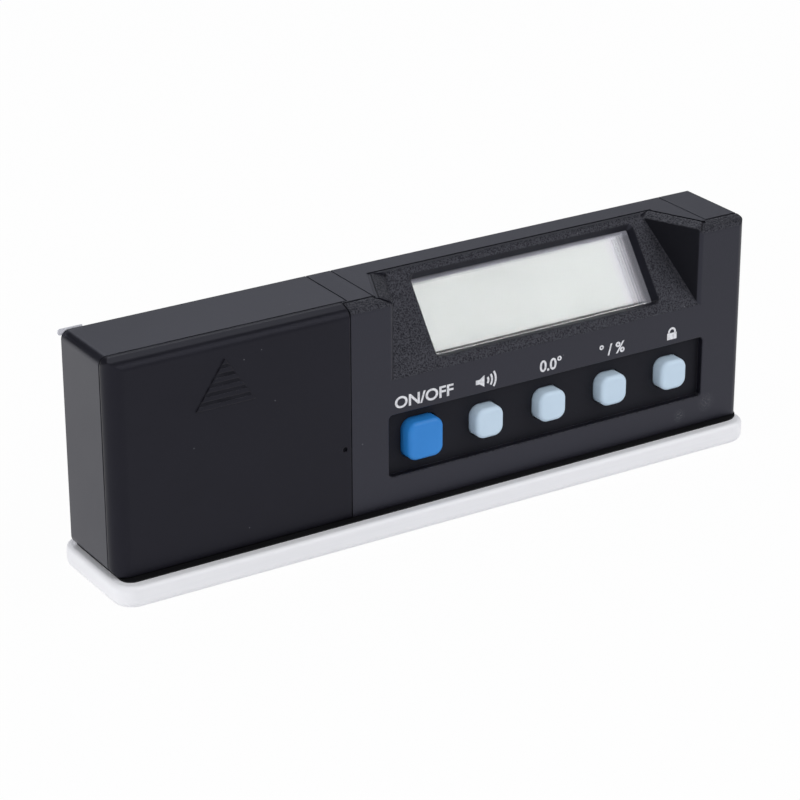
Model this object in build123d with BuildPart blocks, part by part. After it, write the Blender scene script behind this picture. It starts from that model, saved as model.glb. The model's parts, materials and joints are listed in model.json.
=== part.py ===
from build123d import *
from math import atan2, cos, degrees, sin, sqrt
import os

# Slim digital inclinometer on a metal rail, in millimetres.
# +X runs along the rail, -Y is the front with the keys, +Z is up.
# The origin is the centre of the rail's underside.

# Rail and gasket
base_length = 154.0
base_depth = 27.8
base_height = 4.8
base_corner = 4.6
base_top_radius = 1.0
base_foot_radius = 1.6
gasket_left = -75.0
gasket_right = 76.8
gasket_depth = 23.3
gasket_left_radius = 2.6
gasket_right_radius = 4.6
gasket_thickness = 0.3

# Outer form of the case
case_left = -76.0
case_right = 76.3
case_depth = 20.0
case_top = 51.0
wall = 1.8
left_top_radius = 1.8
left_bottom_radius = 1.8
right_top_radius = 0.5
right_bottom_radius = 1.4
front_left_radius = 3.4
front_right_radius = 1.7
bottom_front_radius = 0.2
bevel_run = 2.8
bevel_drop = 1.0
cover_roll_radius = 2.0
front_roll_radius = 1.4

# Seams between the shells and the battery cover
seam = 0.2
split_x = -21.0
cover_right = -22.45
cover_back = -6.25

# Display scoop, its sloping bezel and the opening in it
panel_x = 26.0
bezel_bottom = 33.2
scoop_rear = 3.3
scoop_front_half = 38.5
scoop_rear_half = 32.4
scoop_edge_radius = 1.2
scoop_top_radius = 0.7
rim_bevel_run = 2.8
rim_bevel_drop = 0.8
rim_overlap = 0.3
rear_rim = 0.9
groove_width = 0.6
groove_sink = 0.3
notch_width = 0.5
notch_sink = 0.35
bezel_wall = 2.6
opening_width = 54.65
opening_height = 16.5
opening_corner = 0.35
opening_draft = 0.87
opening_land = 0.25
opening_shift = 1.07
opening_up = 11.55
window_width = 57.8
window_height = 18.4
window_depth = 1.6
rebate_play = 0.1
pilot_floor = 0.5

# Display stack behind the window, as depths below the bezel face
cell_width = 57.0
cell_height = 17.4
cell_thickness = 2.0
frame_play = 0.2
frame_side = 1.6
frame_edge = 0.8
board_depth = 6.8
display_board_thickness = 1.2
display_board_width = 72.0
display_board_low = 2.5
display_board_high = 17.4
zebra_width = 52.0
zebra_height = 1.8
zebra_up = 4.3
display_boss_radius = 2.0
display_screw_x = 32.9
display_screw_ups = (4.6, 15.2)

# Key pocket and keys
pocket_width = 79.5
pocket_shift = 0.2
pocket_low = 11.8
pocket_high = 25.5
pocket_corner = 0.9
pocket_depth = 1.5
pocket_floor = 1.5
pocket_rim = 1.5
pocket_edge = 0.3
key_names = ("power", "sound", "cal", "mode", "hold")
key_sizes = (8.5, 6.7, 6.7, 6.7, 6.7)
key_pitch = 15.75
key_z = 19.0
key_corner = 2.2
key_edge = 0.9
key_proud = 1.5
key_gap = 0.25
flange_margin = 0.8
flange_thickness = 0.9
flange_play = 0.2
mat_thickness = 1.0
mat_width = 76.0
mat_height = 12.5
mat_gap = 0.3
mat_margin = 1.2
pill_radius = 2.0
pill_thickness = 0.25
key_room = 2.4

# Main board and what stands on it
board_thickness = 1.6
board_left = -13.5
board_right = 68.3
board_low = 8.6
board_high = 29.2
board_boss_radius = 1.8
board_boss_xs = (-11.5, 66.0)
board_boss_zs = (10.4, 27.3)
controller_x = 11.0
controller_z = 17.0
controller_size = 10.0
controller_height = 1.4
sensor_x = 28.0
sensor_z = 14.5
sensor_size = 7.0
sensor_height = 2.4
sounder_radius = 6.5
sounder_height = 6.5
sounder_x = 48.0
sounder_z = 18.5
sounder_port = 1.2
crystal_x = 3.5
crystal_z = 25.0
crystal_length = 10.5
crystal_width = 4.0
crystal_height = 3.6
capacitor_x = 60.5
capacitor_z = 22.5
capacitor_radius = 3.1
capacitor_height = 7.5
chip_chamfer = 0.3
can_edge = 0.5
sounder_port_depth = 2.0
header_left = -9.2
header_right = -3.2
header_low = 11.0
header_high = 16.0
header_depth = 5.5
header_chamfer = 0.4
ribbon_width = 14.0
ribbon_thickness = 0.3
ribbon_start = 9.0
ribbon_end = 22.0
ribbon_bend = 1.5

# Rear cover and its posts
rear_plate = 1.6
rear_play = 0.2
plate_corner = 0.8
port_ring_radius = 3.2
port_ring_count = 6
post_radius = 2.5
post_xs = (-16.5, 71.3)
post_zs = (10.3, 46.7)

# Battery compartment
cell_radius = 5.25
cell_length = 44.5
nub_radius = 1.9
nub_length = 1.0
cell_edge = 0.5
cell_y = 1.0
lower_cell_z = 20.5
upper_cell_z = 33.5
contact_sheet = 0.4
contact_dimple = 0.5
dimple_radius = 1.5
contact_front = -3.5
contact_back = 5.5
contact_half_height = 5.0
tab_front = 3.2
tab_back = 5.2
tab_end = -17.5
tab_rise = 3.5
tab_slot_play = 0.3
spring_wire = 0.35
spring_base = 3.6
spring_turns = 4
spring_cone = -12.0
spring_gap = 0.05
cradle_thickness = 1.6
cradle_xs = (-62.0, -36.0)
cradle_front = 2.0
cradle_play = 0.15
lead_radius = 0.65
lead_bend = 2.0
lead_positive_turn = (-11.5, -7.6, 26.0)
lead_negative_turn = (-11.0, -4.8, 22.5)

# Guide rails and hooks of the battery cover
rail_low = 8.0
rail_high = 47.0
rail_reach = 2.7
rail_web = 0.9
rail_flange = 2.4
rail_sheet = 0.6
rail_clear = 0.3
rail_foot = 1.0
hook_web = 0.8
hook_reach = 2.3
hook_play = 0.4
hook_sheet = 0.55
hook_spans = ((12.0, 20.0), (34.0, 42.0))
return_wall = 1.2

# Raised arrow on the battery cover
arrow_x = -51.0
arrow_low = 36.8
arrow_high = 46.6
arrow_half = 6.6
arrow_bars = 5
arrow_pitch = 1.75
arrow_bar = 0.95
arrow_base = 0.14
arrow_proud = 0.3
dimple_x = -24.0
dimple_z = 20.7
dimple_hole = 0.55
dimple_sink = 0.6

# Fine mould lines across the top of the front case
mould_line_xs = (-15.2, 67.9)
mould_line_width = 0.2
mould_line_sink = 0.12

# Screws
base_screw_xs = (-67.0, -29.0, 5.0, 67.0)
base_screw_y = 4.0
base_boss_radius = 3.0
base_boss_top = 13.0
base_screw_radius = 1.4
base_screw_head = 2.8
base_screw_length = 11.0
base_screw_sink = 0.2
base_screw_tip = 1.0
base_hole_gap = 0.15
base_head_gap = 0.3
base_pilot_play = 0.5
case_screw_y = 1.0
case_screw_zs = (13.5, 42.0)
case_boss_radius = 2.3
case_boss_end = -12.5
screw_head = 1.9
screw_head_height = 1.1
screw_radius = 0.95
screw_hole = 1.1
pilot_gap = 0.03
head_gap = 0.2
case_screw_length = 8.0
board_screw_length = 4.4
post_pilot_depth = 9.0
board_pilot_play = 0.6
slot_width = 0.5
slot_depth = 0.6
slot_share = 1.25

# Film tab behind the top left corner, with an ear that sticks out at the left
film_left = -75.4
film_right = -71.3
film_low = 40.0
film_high = 51.3
film_thickness = 0.3
ear_left = -76.6
ear_low = 50.0
ear_corner = 0.55

# Places worked out from the sizes above
case_length = case_right - case_left
case_middle = (case_left + case_right) / 2
front = -case_depth / 2
rear = case_depth / 2
case_bottom = base_height + gasket_thickness
inner_left = case_left + wall
inner_right = case_right - wall
inner_bottom = case_bottom + wall
inner_top = case_top - wall
inner_front = front + wall
inner_rear = rear - wall
partition_left = split_x - seam / 2 - wall
front_case_left = split_x + seam / 2
front_case_inner = front_case_left + wall
pocket_x = panel_x + pocket_shift
floor_back = front + pocket_depth + pocket_floor
board_front = floor_back + key_room
board_back = board_front + board_thickness
plate_front = rear - rear_plate
lean = atan2(scoop_rear - front, case_top - bezel_bottom)
flare = (scoop_front_half - scoop_rear_half) / (scoop_rear - front)
key_xs = [panel_x + key_pitch * (index - 2) for index in range(len(key_names))]
reach = 200.0
touch = 0.01
wedge_reach = 45.0
display_boss_xs = (opening_shift - display_screw_x, opening_shift + display_screw_x)
display_bosses = [(x, up) for x in display_boss_xs for up in display_screw_ups]
board_bosses = [(x, z) for x in board_boss_xs for z in board_boss_zs]
rear_posts = [(x, z) for x in post_xs for z in post_zs]
front_base_xs = [x for x in base_screw_xs if x > split_x]
battery_base_xs = [x for x in base_screw_xs if x < split_x]
arrow_corners = ((arrow_x - arrow_half, arrow_low), (arrow_x + arrow_half, arrow_low), (arrow_x, arrow_high))

bezel_normal = (0, -cos(lean), sin(lean))
bezel_plane = Plane(origin=(panel_x, front, bezel_bottom), x_dir=(1, 0, 0), z_dir=bezel_normal)
front_plane = Plane.XZ.offset(-front)

os.makedirs("parts", exist_ok=True)


def bezel_point(up, depth):
    """Y and Z of a point on the slope: up along the bezel, depth below its face."""
    y = front + up * sin(lean) + depth * cos(lean)
    z = bezel_bottom + up * cos(lean) - depth * sin(lean)
    return y, z


def facing(direction, points):
    """One plane per point, each with its normal along the direction."""
    return [Plane(origin=point, z_dir=direction) for point in points]


def slab(low, high, mode=Mode.ADD):
    """A box between two opposite corners."""
    size = [top - bottom for bottom, top in zip(low, high)]
    middle = [(top + bottom) / 2 for bottom, top in zip(low, high)]
    with Locations(tuple(middle)):
        Box(*size, mode=mode)


def outer_form(roll_radius):
    """Closed outer form that the shells and the cover are cut from; the roll ends the front bevel."""
    with BuildPart() as form:
        with BuildSketch(Plane.XZ) as elevation:
            with Locations((case_middle, (case_top + case_bottom) / 2)):
                Rectangle(case_length, case_top - case_bottom)
            fillet(elevation.vertices().sort_by_distance((case_left, case_bottom))[0], left_bottom_radius)
            fillet(elevation.vertices().sort_by_distance((case_left, case_top))[0], left_top_radius)
            fillet(elevation.vertices().sort_by_distance((case_right, case_bottom))[0], right_bottom_radius)
            fillet(elevation.vertices().sort_by_distance((case_right, case_top))[0], right_top_radius)
        extrude(amount=case_depth / 2, both=True)
        with BuildSketch(Plane.YZ) as section:
            with BuildLine():
                Polyline(
                    (front, case_bottom),
                    (front, case_top - bevel_drop),
                    (front + bevel_run, case_top),
                    (rear, case_top),
                    (rear, case_bottom),
                    close=True,
                )
            make_face()
            fillet(section.vertices().group_by(Axis.X)[0].sort_by(Axis.Y)[0], bottom_front_radius)
            fillet(section.vertices().group_by(Axis.X)[0].sort_by(Axis.Y)[-1], roll_radius)
        extrude(amount=reach, both=True, mode=Mode.INTERSECT)
        with BuildSketch() as plan:
            with Locations((case_middle, 0)):
                Rectangle(case_length, case_depth)
            fillet(plan.vertices().sort_by_distance((case_left, front))[0], front_left_radius)
            fillet(plan.vertices().sort_by_distance((case_right, front))[0], front_right_radius)
        extrude(amount=reach, mode=Mode.INTERSECT)
    return form.part


def scoop(grow):
    """Wedge in front of the bezel, with flared sides and a rounded mouth; grow moves its faces outward."""
    with BuildPart() as wedge:
        with BuildSketch(Plane.YZ.offset(panel_x)):
            with BuildLine():
                Polyline(
                    bezel_point(-wedge_reach, grow),
                    bezel_point(wedge_reach, grow),
                    bezel_point(wedge_reach, -wedge_reach),
                    close=True,
                )
            make_face()
        extrude(amount=reach / 2, both=True)
        with BuildSketch() as plan:
            front_half = scoop_front_half + grow
            rear_half = front_half - flare * case_depth
            with BuildLine():
                Polyline(
                    (panel_x - front_half, front),
                    (panel_x + front_half, front),
                    (panel_x + rear_half, rear),
                    (panel_x - rear_half, rear),
                    close=True,
                )
            make_face()
            with Locations((panel_x, front)):
                Rectangle(reach, case_depth, align=(Align.CENTER, Align.MAX))
            mouth = plan.vertices().filter_by_position(Axis.Y, front - touch, front + touch)
            fillet(mouth.filter_by_position(Axis.X, case_left, case_right), scoop_edge_radius)
        extrude(amount=reach, mode=Mode.INTERSECT)
    return wedge.part


def hollow():
    """Room inside the right-hand shell, with a wall left behind the scoop."""
    thick_scoop = scoop(bezel_wall)
    with BuildPart() as room:
        slab((front_case_inner, inner_front, inner_bottom), (inner_right, reach, inner_top))
        add(thick_scoop, mode=Mode.SUBTRACT)
    return room.part


def rim_cut(side):
    """Cutter for the bevel, the fine groove and the mitred corner of one side rim; side is -1 or 1."""
    along = (-side * flare, 1, 0)
    outward = (side, flare, 0)
    rim_start = (panel_x + side * scoop_front_half, front, case_top)
    rim_length = (scoop_rear - front) * sqrt(1 + flare**2)
    rim_plane = Plane(origin=rim_start, x_dir=outward, z_dir=tuple(-side * step for step in along))
    with BuildPart() as cutter:
        with BuildSketch(rim_plane):
            Polygon(
                (rim_bevel_run, 0),
                (rim_bevel_run, rim_bevel_drop),
                (-rim_overlap, rim_bevel_drop),
                (-rim_overlap, -rim_bevel_drop * (1 + rim_overlap / rim_bevel_run)),
                align=None,
            )
            with Locations((rim_bevel_run, -groove_sink)):
                Rectangle(groove_width, 2 * groove_sink, align=(Align.MIN, Align.MIN))
        extrude(amount=-side * rim_length)
        extrude(to_extrude=cutter.faces().sort_by(Axis.Y)[0], amount=bevel_run)
        mitre = Vector(-side * rim_bevel_run, -bevel_run, -bevel_drop)
        mitre_middle = Vector(*rim_start) + Vector(side * rim_bevel_run, bevel_run, 0) + mitre / 2
        mitre_across = Vector(bevel_run, -side * rim_bevel_run, 0)
        with Locations(Plane(origin=mitre_middle, x_dir=mitre, z_dir=mitre.cross(mitre_across))):
            Box(mitre.length, notch_width, 2 * notch_sink)
    return cutter.part


def pan_screw(length):
    """Small cross-head screw along Z, with the underside of its head at Z = 0."""
    with BuildPart() as screw:
        Cylinder(screw_radius, length, align=(Align.CENTER, Align.CENTER, Align.MAX))
        Cylinder(screw_head, screw_head_height, align=(Align.CENTER, Align.CENTER, Align.MIN))
        fillet(screw.edges().group_by(Axis.Z)[-1], screw_head_height / 2)
        with Locations((0, 0, screw_head_height)):
            Box(screw_head * slot_share, slot_width, slot_depth * 2, mode=Mode.SUBTRACT)
            Box(slot_width, screw_head * slot_share, slot_depth * 2, mode=Mode.SUBTRACT)
    return screw.part


battery_outer = outer_form(cover_roll_radius)
front_outer = outer_form(front_roll_radius)

# Metal rail with rounded corners and edges and countersunk holes
with BuildPart() as base_rail:
    with BuildSketch():
        RectangleRounded(base_length, base_depth, base_corner)
    extrude(amount=base_height)
    fillet(base_rail.faces().sort_by(Axis.Z)[-1].edges(), base_top_radius)
    fillet(base_rail.faces().sort_by(Axis.Z)[0].edges(), base_foot_radius)
    with Locations(*facing((0, 0, -1), [(x, base_screw_y, 0) for x in base_screw_xs])):
        CounterSinkHole(
            base_screw_radius + base_hole_gap,
            base_screw_head + base_head_gap,
            depth=base_height,
            counter_sink_angle=90,
        )
base_rail.part.label = "base_rail"
export_step(base_rail.part, "parts/base_rail.step")

# Black sheet between rail and case
with BuildPart() as base_gasket:
    with BuildSketch(Plane.XY.offset(base_height)) as sheet:
        with Locations(((gasket_left + gasket_right) / 2, 0)):
            Rectangle(gasket_right - gasket_left, gasket_depth)
        fillet(sheet.vertices().group_by(Axis.X)[0], gasket_left_radius)
        fillet(sheet.vertices().group_by(Axis.X)[-1], gasket_right_radius)
        with Locations(*[(x, base_screw_y) for x in base_screw_xs]):
            Circle(base_screw_radius + base_head_gap, mode=Mode.SUBTRACT)
    extrude(amount=gasket_thickness)
base_gasket.part.label = "base_gasket"
export_step(base_gasket.part, "parts/base_gasket.step")

# Countersunk screws that hold the case on the rail
with BuildPart() as base_screw:
    with BuildSketch(Plane.XZ):
        with BuildLine():
            Polyline(
                (0, base_screw_sink),
                (base_screw_head, base_screw_sink),
                (base_screw_radius, base_screw_sink + base_screw_head - base_screw_radius),
                (base_screw_radius, base_screw_length - base_screw_tip),
                (base_screw_radius / 2, base_screw_length),
                (0, base_screw_length),
                close=True,
            )
        make_face()
    revolve(axis=Axis.Z)
    with Locations((0, 0, base_screw_sink)):
        Box(base_screw_head * slot_share, slot_width, slot_depth * 2, mode=Mode.SUBTRACT)
        Box(slot_width, base_screw_head * slot_share, slot_depth * 2, mode=Mode.SUBTRACT)
with BuildPart() as base_screws:
    with Locations(*[(x, base_screw_y, 0) for x in base_screw_xs]):
        add(base_screw.part)
base_screws.part.label = "base_screws"
export_step(base_screws.part, "parts/base_screws.step")

# Right-hand shell, open at the rear, with the display scoop and the key pocket
open_scoop = scoop(0)
room_inside = hollow()
rim_cutters = [rim_cut(side) for side in (-1, 1)]
with BuildPart() as front_case:
    add(front_outer)
    slab((-reach, -reach, 0), (cover_right + seam / 2, reach, reach), mode=Mode.SUBTRACT)
    slab((-reach, cover_back, 0), (front_case_left, reach, reach), mode=Mode.SUBTRACT)
    add(open_scoop, mode=Mode.SUBTRACT)
    scoop_rim = front_case.edges(Select.LAST).filter_by_position(Axis.Z, case_top - touch, case_top + touch)
    fillet(scoop_rim.filter_by(Axis.X).sort_by(Axis.Y)[-1], scoop_top_radius)
    for rim_cutter in rim_cutters:
        add(rim_cutter, mode=Mode.SUBTRACT)
    groove_half = scoop_rear_half + rim_bevel_run + groove_width
    slab(
        (panel_x - groove_half, scoop_rear + rear_rim, case_top - groove_sink),
        (panel_x + groove_half, scoop_rear + rear_rim + groove_width, case_top),
        mode=Mode.SUBTRACT,
    )
    add(room_inside, mode=Mode.SUBTRACT)

    # Key pocket with its floor and key holes
    slab(
        (pocket_x - pocket_width / 2 - pocket_rim, front + pocket_depth, pocket_low - pocket_rim),
        (pocket_x + pocket_width / 2 + pocket_rim, floor_back, pocket_high + pocket_rim),
    )
    with BuildSketch(front_plane):
        with Locations((pocket_x, (pocket_low + pocket_high) / 2)):
            RectangleRounded(pocket_width, pocket_high - pocket_low, pocket_corner)
    extrude(amount=-pocket_depth, mode=Mode.SUBTRACT)
    pocket_mouth = front_case.edges(Select.LAST).filter_by_position(Axis.Y, front - touch, front + touch)
    fillet(pocket_mouth, pocket_edge)
    with BuildSketch(front_plane):
        for key_x, key_size in zip(key_xs, key_sizes):
            with Locations((key_x, key_z)):
                RectangleRounded(key_size + 2 * key_gap, key_size + 2 * key_gap, key_corner + key_gap)
    extrude(amount=-(pocket_depth + pocket_floor), mode=Mode.SUBTRACT)

    # Display opening, the rebate for its window and four bosses for the display board
    with BuildSketch(bezel_plane.offset(-bezel_wall)):
        with Locations(*display_bosses):
            Circle(display_boss_radius)
    extrude(amount=bezel_wall - board_depth)
    with BuildSketch(bezel_plane):
        with Locations((opening_shift, opening_up)):
            RectangleRounded(opening_width, opening_height, opening_corner)
    extrude(amount=-board_depth, mode=Mode.SUBTRACT)
    mouth_width = opening_width + 2 * opening_draft
    mouth_height = opening_height + 2 * opening_draft
    with BuildSketch(bezel_plane):
        with Locations((opening_shift, opening_up)):
            RectangleRounded(mouth_width, mouth_height, opening_corner + opening_draft)
    draft_depth = window_depth - opening_land
    extrude(amount=-draft_depth, taper=degrees(atan2(opening_draft, draft_depth)), mode=Mode.SUBTRACT)
    with BuildSketch(bezel_plane.offset(-window_depth)):
        with Locations((opening_shift, opening_up)):
            Rectangle(window_width + 2 * rebate_play, window_height + 2 * rebate_play)
    extrude(amount=window_depth - bezel_wall, mode=Mode.SUBTRACT)
    with BuildSketch(bezel_plane.offset(-board_depth)):
        with Locations(*display_bosses):
            Circle(screw_radius + pilot_gap)
    extrude(amount=board_depth - bezel_wall - pilot_floor, mode=Mode.SUBTRACT)

    # Bosses for the main board, posts for the rear cover, bosses for the rail and for the joining screws
    with BuildSketch(Plane.XZ.offset(-inner_front)):
        with Locations(*board_bosses):
            Circle(board_boss_radius)
    extrude(amount=inner_front - board_front)
    with BuildSketch(Plane.XZ.offset(-inner_front)):
        with Locations(*rear_posts):
            Circle(post_radius)
    extrude(amount=inner_front - plate_front)
    with BuildSketch(Plane.XY.offset(inner_bottom)):
        with Locations(*[(x, base_screw_y) for x in front_base_xs]):
            Circle(base_boss_radius)
    extrude(amount=base_boss_top - inner_bottom)
    with BuildSketch(Plane.YZ.offset(front_case_inner)):
        with Locations(*[(case_screw_y, z) for z in case_screw_zs]):
            Circle(case_boss_radius)
    extrude(amount=case_boss_end - front_case_inner)

    # Pilot holes
    with Locations(*facing((0, 1, 0), [(x, board_front, z) for x, z in board_bosses])):
        Hole(screw_radius + pilot_gap, depth=board_front - inner_front + board_pilot_play)
    with Locations(*facing((0, 1, 0), [(x, plate_front, z) for x, z in rear_posts])):
        Hole(screw_radius + pilot_gap, depth=post_pilot_depth)
    with Locations(*facing((0, 0, -1), [(x, base_screw_y, case_bottom) for x in front_base_xs])):
        Hole(base_screw_radius + pilot_gap, depth=base_screw_length - case_bottom + base_pilot_play)
    with Locations(*facing((-1, 0, 0), [(front_case_left, case_screw_y, z) for z in case_screw_zs])):
        Hole(screw_radius + pilot_gap, depth=case_boss_end - front_case_left)

    # Slots for the battery contacts' tabs
    for cell_z in (lower_cell_z, upper_cell_z):
        slab(
            (front_case_left, tab_front - tab_slot_play, cell_z + tab_rise - tab_slot_play),
            (front_case_inner, tab_back + tab_slot_play, cell_z + tab_rise + contact_sheet + tab_slot_play),
            mode=Mode.SUBTRACT,
        )

    # Fine grooves on the top, behind the front bevel and across
    bevel_back = front + bevel_run
    for side, line_x in zip((-1, 1), mould_line_xs):
        groove_span = sorted((line_x, panel_x + side * reach))
        slab(
            (groove_span[0], bevel_back, case_top - groove_sink),
            (groove_span[1], bevel_back + groove_width, case_top),
            mode=Mode.SUBTRACT,
        )
        slab(
            (line_x - mould_line_width / 2, bevel_back, case_top - mould_line_sink),
            (line_x + mould_line_width / 2, rear, case_top),
            mode=Mode.SUBTRACT,
        )
front_case.part.label = "front_case"
export_step(front_case.part, "parts/front_case.step")

# Left-hand shell, open at the front
with BuildPart() as battery_case:
    add(battery_outer)
    slab((split_x - seam / 2, -reach, 0), (reach, reach, reach), mode=Mode.SUBTRACT)
    slab((-reach, -reach, 0), (reach, cover_back + seam / 2, reach), mode=Mode.SUBTRACT)
    slab((inner_left, front, inner_bottom), (partition_left, inner_rear, inner_top), mode=Mode.SUBTRACT)

    # Rails that the battery cover slides on, one at each side
    rail_back = cover_back + seam / 2
    rail_front = inner_front + rail_clear
    for side_x, inward in ((inner_left, 1), (partition_left, -1)):
        web_far = side_x + inward * rail_reach
        web_near = web_far - inward * rail_web
        flange_far = web_near + inward * rail_flange
        foot_span = sorted((side_x, web_far))
        web_span = sorted((web_near, web_far))
        flange_span = sorted((web_near, flange_far))
        slab((foot_span[0], rail_back, rail_low), (foot_span[1], rail_back + rail_foot, rail_high))
        slab((web_span[0], rail_front, rail_low), (web_span[1], rail_back, rail_high))
        slab((flange_span[0], rail_front, rail_low), (flange_span[1], rail_front + rail_sheet, rail_high))

    # Cradles for the two cells
    for cradle_x in cradle_xs:
        slab((cradle_x, cradle_front, inner_bottom), (cradle_x + cradle_thickness, inner_rear, inner_top))
    with Locations(*facing((1, 0, 0), [(partition_left, cell_y, z) for z in (lower_cell_z, upper_cell_z)])):
        Cylinder(
            cell_radius + cradle_play,
            partition_left - inner_left,
            align=(Align.CENTER, Align.CENTER, Align.MAX),
            mode=Mode.SUBTRACT,
        )

    # Bosses and holes for the rail screws, holes for the joining screws, slots for the contact tabs
    with BuildSketch(Plane.XY.offset(inner_bottom)):
        with Locations(*[(x, base_screw_y) for x in battery_base_xs]):
            Circle(base_boss_radius)
    extrude(amount=base_boss_top - inner_bottom)
    with Locations(*facing((0, 0, -1), [(x, base_screw_y, case_bottom) for x in battery_base_xs])):
        Hole(base_screw_radius + pilot_gap, depth=base_screw_length - case_bottom + base_pilot_play)
    with Locations(*facing((-1, 0, 0), [(partition_left, case_screw_y, z) for z in case_screw_zs])):
        Hole(screw_hole, depth=wall)
    for cell_z in (lower_cell_z, upper_cell_z):
        slab(
            (partition_left, tab_front - tab_slot_play, cell_z + tab_rise - tab_slot_play),
            (split_x, tab_back + tab_slot_play, cell_z + tab_rise + contact_sheet + tab_slot_play),
            mode=Mode.SUBTRACT,
        )
battery_case.part.label = "battery_case"
export_step(battery_case.part, "parts/battery_case.step")

# Sliding battery cover with its hooks, raised arrow and small dimple
with BuildPart() as battery_cover:
    add(battery_outer)
    slab((cover_right - seam / 2, -reach, 0), (reach, reach, reach), mode=Mode.SUBTRACT)
    slab((-reach, cover_back - seam / 2, 0), (reach, reach, reach), mode=Mode.SUBTRACT)
    slab((-reach, -reach, 0), (reach, reach, case_bottom + seam), mode=Mode.SUBTRACT)
    tray_right = cover_right - seam / 2 - return_wall
    slab((inner_left, inner_front, 0), (tray_right, reach, inner_top), mode=Mode.SUBTRACT)
    lip_back = cover_back - seam
    for side_x, inward in ((inner_left, 1), (partition_left, -1)):
        web_near = side_x + inward * (rail_reach - rail_web + rail_flange + hook_play)
        web_far = web_near + inward * hook_web
        lip_near = web_far - inward * hook_reach
        web_span = sorted((web_near, web_far))
        lip_span = sorted((lip_near, web_far))
        for hook_low, hook_high in hook_spans:
            slab((web_span[0], inner_front, hook_low), (web_span[1], lip_back, hook_high))
            slab((lip_span[0], lip_back - hook_sheet, hook_low), (lip_span[1], lip_back, hook_high))
    with BuildSketch(front_plane):
        Polygon(*arrow_corners, align=None)
    extrude(amount=arrow_base)
    with BuildSketch(front_plane):
        Polygon(*arrow_corners, align=None)
        for bar in range(arrow_bars):
            gap_low = arrow_low + bar * arrow_pitch + arrow_bar
            with Locations((arrow_x, gap_low + (arrow_pitch - arrow_bar) / 2)):
                Rectangle(3 * arrow_half, arrow_pitch - arrow_bar, mode=Mode.SUBTRACT)
    extrude(amount=arrow_proud)
    with Locations(Plane(origin=(dimple_x, front, dimple_z), z_dir=(0, -1, 0))):
        Hole(dimple_hole, depth=dimple_sink)
battery_cover.part.label = "battery_cover"
export_step(battery_cover.part, "parts/battery_cover.step")

# Rear cover of the right-hand shell, with sound ports and screw holes
with BuildPart() as rear_cover:
    slab(
        (front_case_inner + rear_play, plate_front, inner_bottom + rear_play),
        (inner_right - rear_play, rear, inner_top - rear_play),
    )
    fillet(rear_cover.edges().filter_by(Axis.Y), plate_corner)
    with Locations(*facing((0, 1, 0), [(x, rear, z) for x, z in rear_posts])):
        CounterBoreHole(screw_hole, screw_head + head_gap, screw_head_height, depth=rear_plate)
    with BuildSketch(Plane.XZ.offset(-rear)):
        with Locations((sounder_x, sounder_z)):
            with PolarLocations(port_ring_radius, port_ring_count):
                Circle(sounder_port / 2)
            Circle(sounder_port / 2)
    extrude(amount=rear_plate, mode=Mode.SUBTRACT)
rear_cover.part.label = "rear_cover"
export_step(rear_cover.part, "parts/rear_cover.step")

# Screws of the rear cover
rear_screw = pan_screw(case_screw_length)
with BuildPart() as rear_screws:
    with Locations(*facing((0, 1, 0), [(x, rear - screw_head_height, z) for x, z in rear_posts])):
        add(rear_screw)
rear_screws.part.label = "rear_screws"
export_step(rear_screws.part, "parts/rear_screws.step")

# Screws that join the two shells through the partition
case_screw = pan_screw(case_screw_length)
with BuildPart() as case_screws:
    with Locations(*facing((-1, 0, 0), [(partition_left, case_screw_y, z) for z in case_screw_zs])):
        add(case_screw)
case_screws.part.label = "case_screws"
export_step(case_screws.part, "parts/case_screws.step")

# Clear window in its rebate
with BuildPart() as display_window:
    with BuildSketch(bezel_plane.offset(-window_depth)):
        with Locations((opening_shift, opening_up)):
            Rectangle(window_width, window_height)
    extrude(amount=window_depth - bezel_wall)
display_window.part.label = "display_window"
export_step(display_window.part, "parts/display_window.step")

# Liquid crystal cell behind the window
with BuildPart() as lcd_cell:
    with BuildSketch(bezel_plane.offset(-bezel_wall)):
        with Locations((opening_shift, opening_up)):
            Rectangle(cell_width, cell_height)
    extrude(amount=-cell_thickness)
lcd_cell.part.label = "lcd_cell"
export_step(lcd_cell.part, "parts/lcd_cell.step")

# Frame round the cell, clamped between the bezel and the display board
with BuildPart() as lcd_frame:
    with BuildSketch(bezel_plane.offset(-bezel_wall)):
        with Locations((opening_shift, opening_up)):
            hole_width, hole_height = cell_width + 2 * frame_play, cell_height + 2 * frame_play
            Rectangle(hole_width + 2 * frame_side, hole_height + 2 * frame_edge)
            Rectangle(hole_width, hole_height, mode=Mode.SUBTRACT)
    extrude(amount=bezel_wall - board_depth)
lcd_frame.part.label = "lcd_frame"
export_step(lcd_frame.part, "parts/lcd_frame.step")

# Rubber connector between the cell's lower edge and the display board
with BuildPart() as zebra_strip:
    with BuildSketch(bezel_plane.offset(-bezel_wall - cell_thickness)):
        with Locations((opening_shift, zebra_up)):
            Rectangle(zebra_width, zebra_height)
    extrude(amount=bezel_wall + cell_thickness - board_depth)
zebra_strip.part.label = "zebra_strip"
export_step(zebra_strip.part, "parts/zebra_strip.step")

# Sloping display board
with BuildPart() as display_board:
    with BuildSketch(bezel_plane.offset(-board_depth)):
        with Locations((opening_shift, (display_board_low + display_board_high) / 2)):
            Rectangle(display_board_width, display_board_high - display_board_low)
        with Locations(*display_bosses):
            Circle(screw_hole, mode=Mode.SUBTRACT)
    extrude(amount=-display_board_thickness)
display_board.part.label = "display_board"
export_step(display_board.part, "parts/display_board.step")

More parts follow.
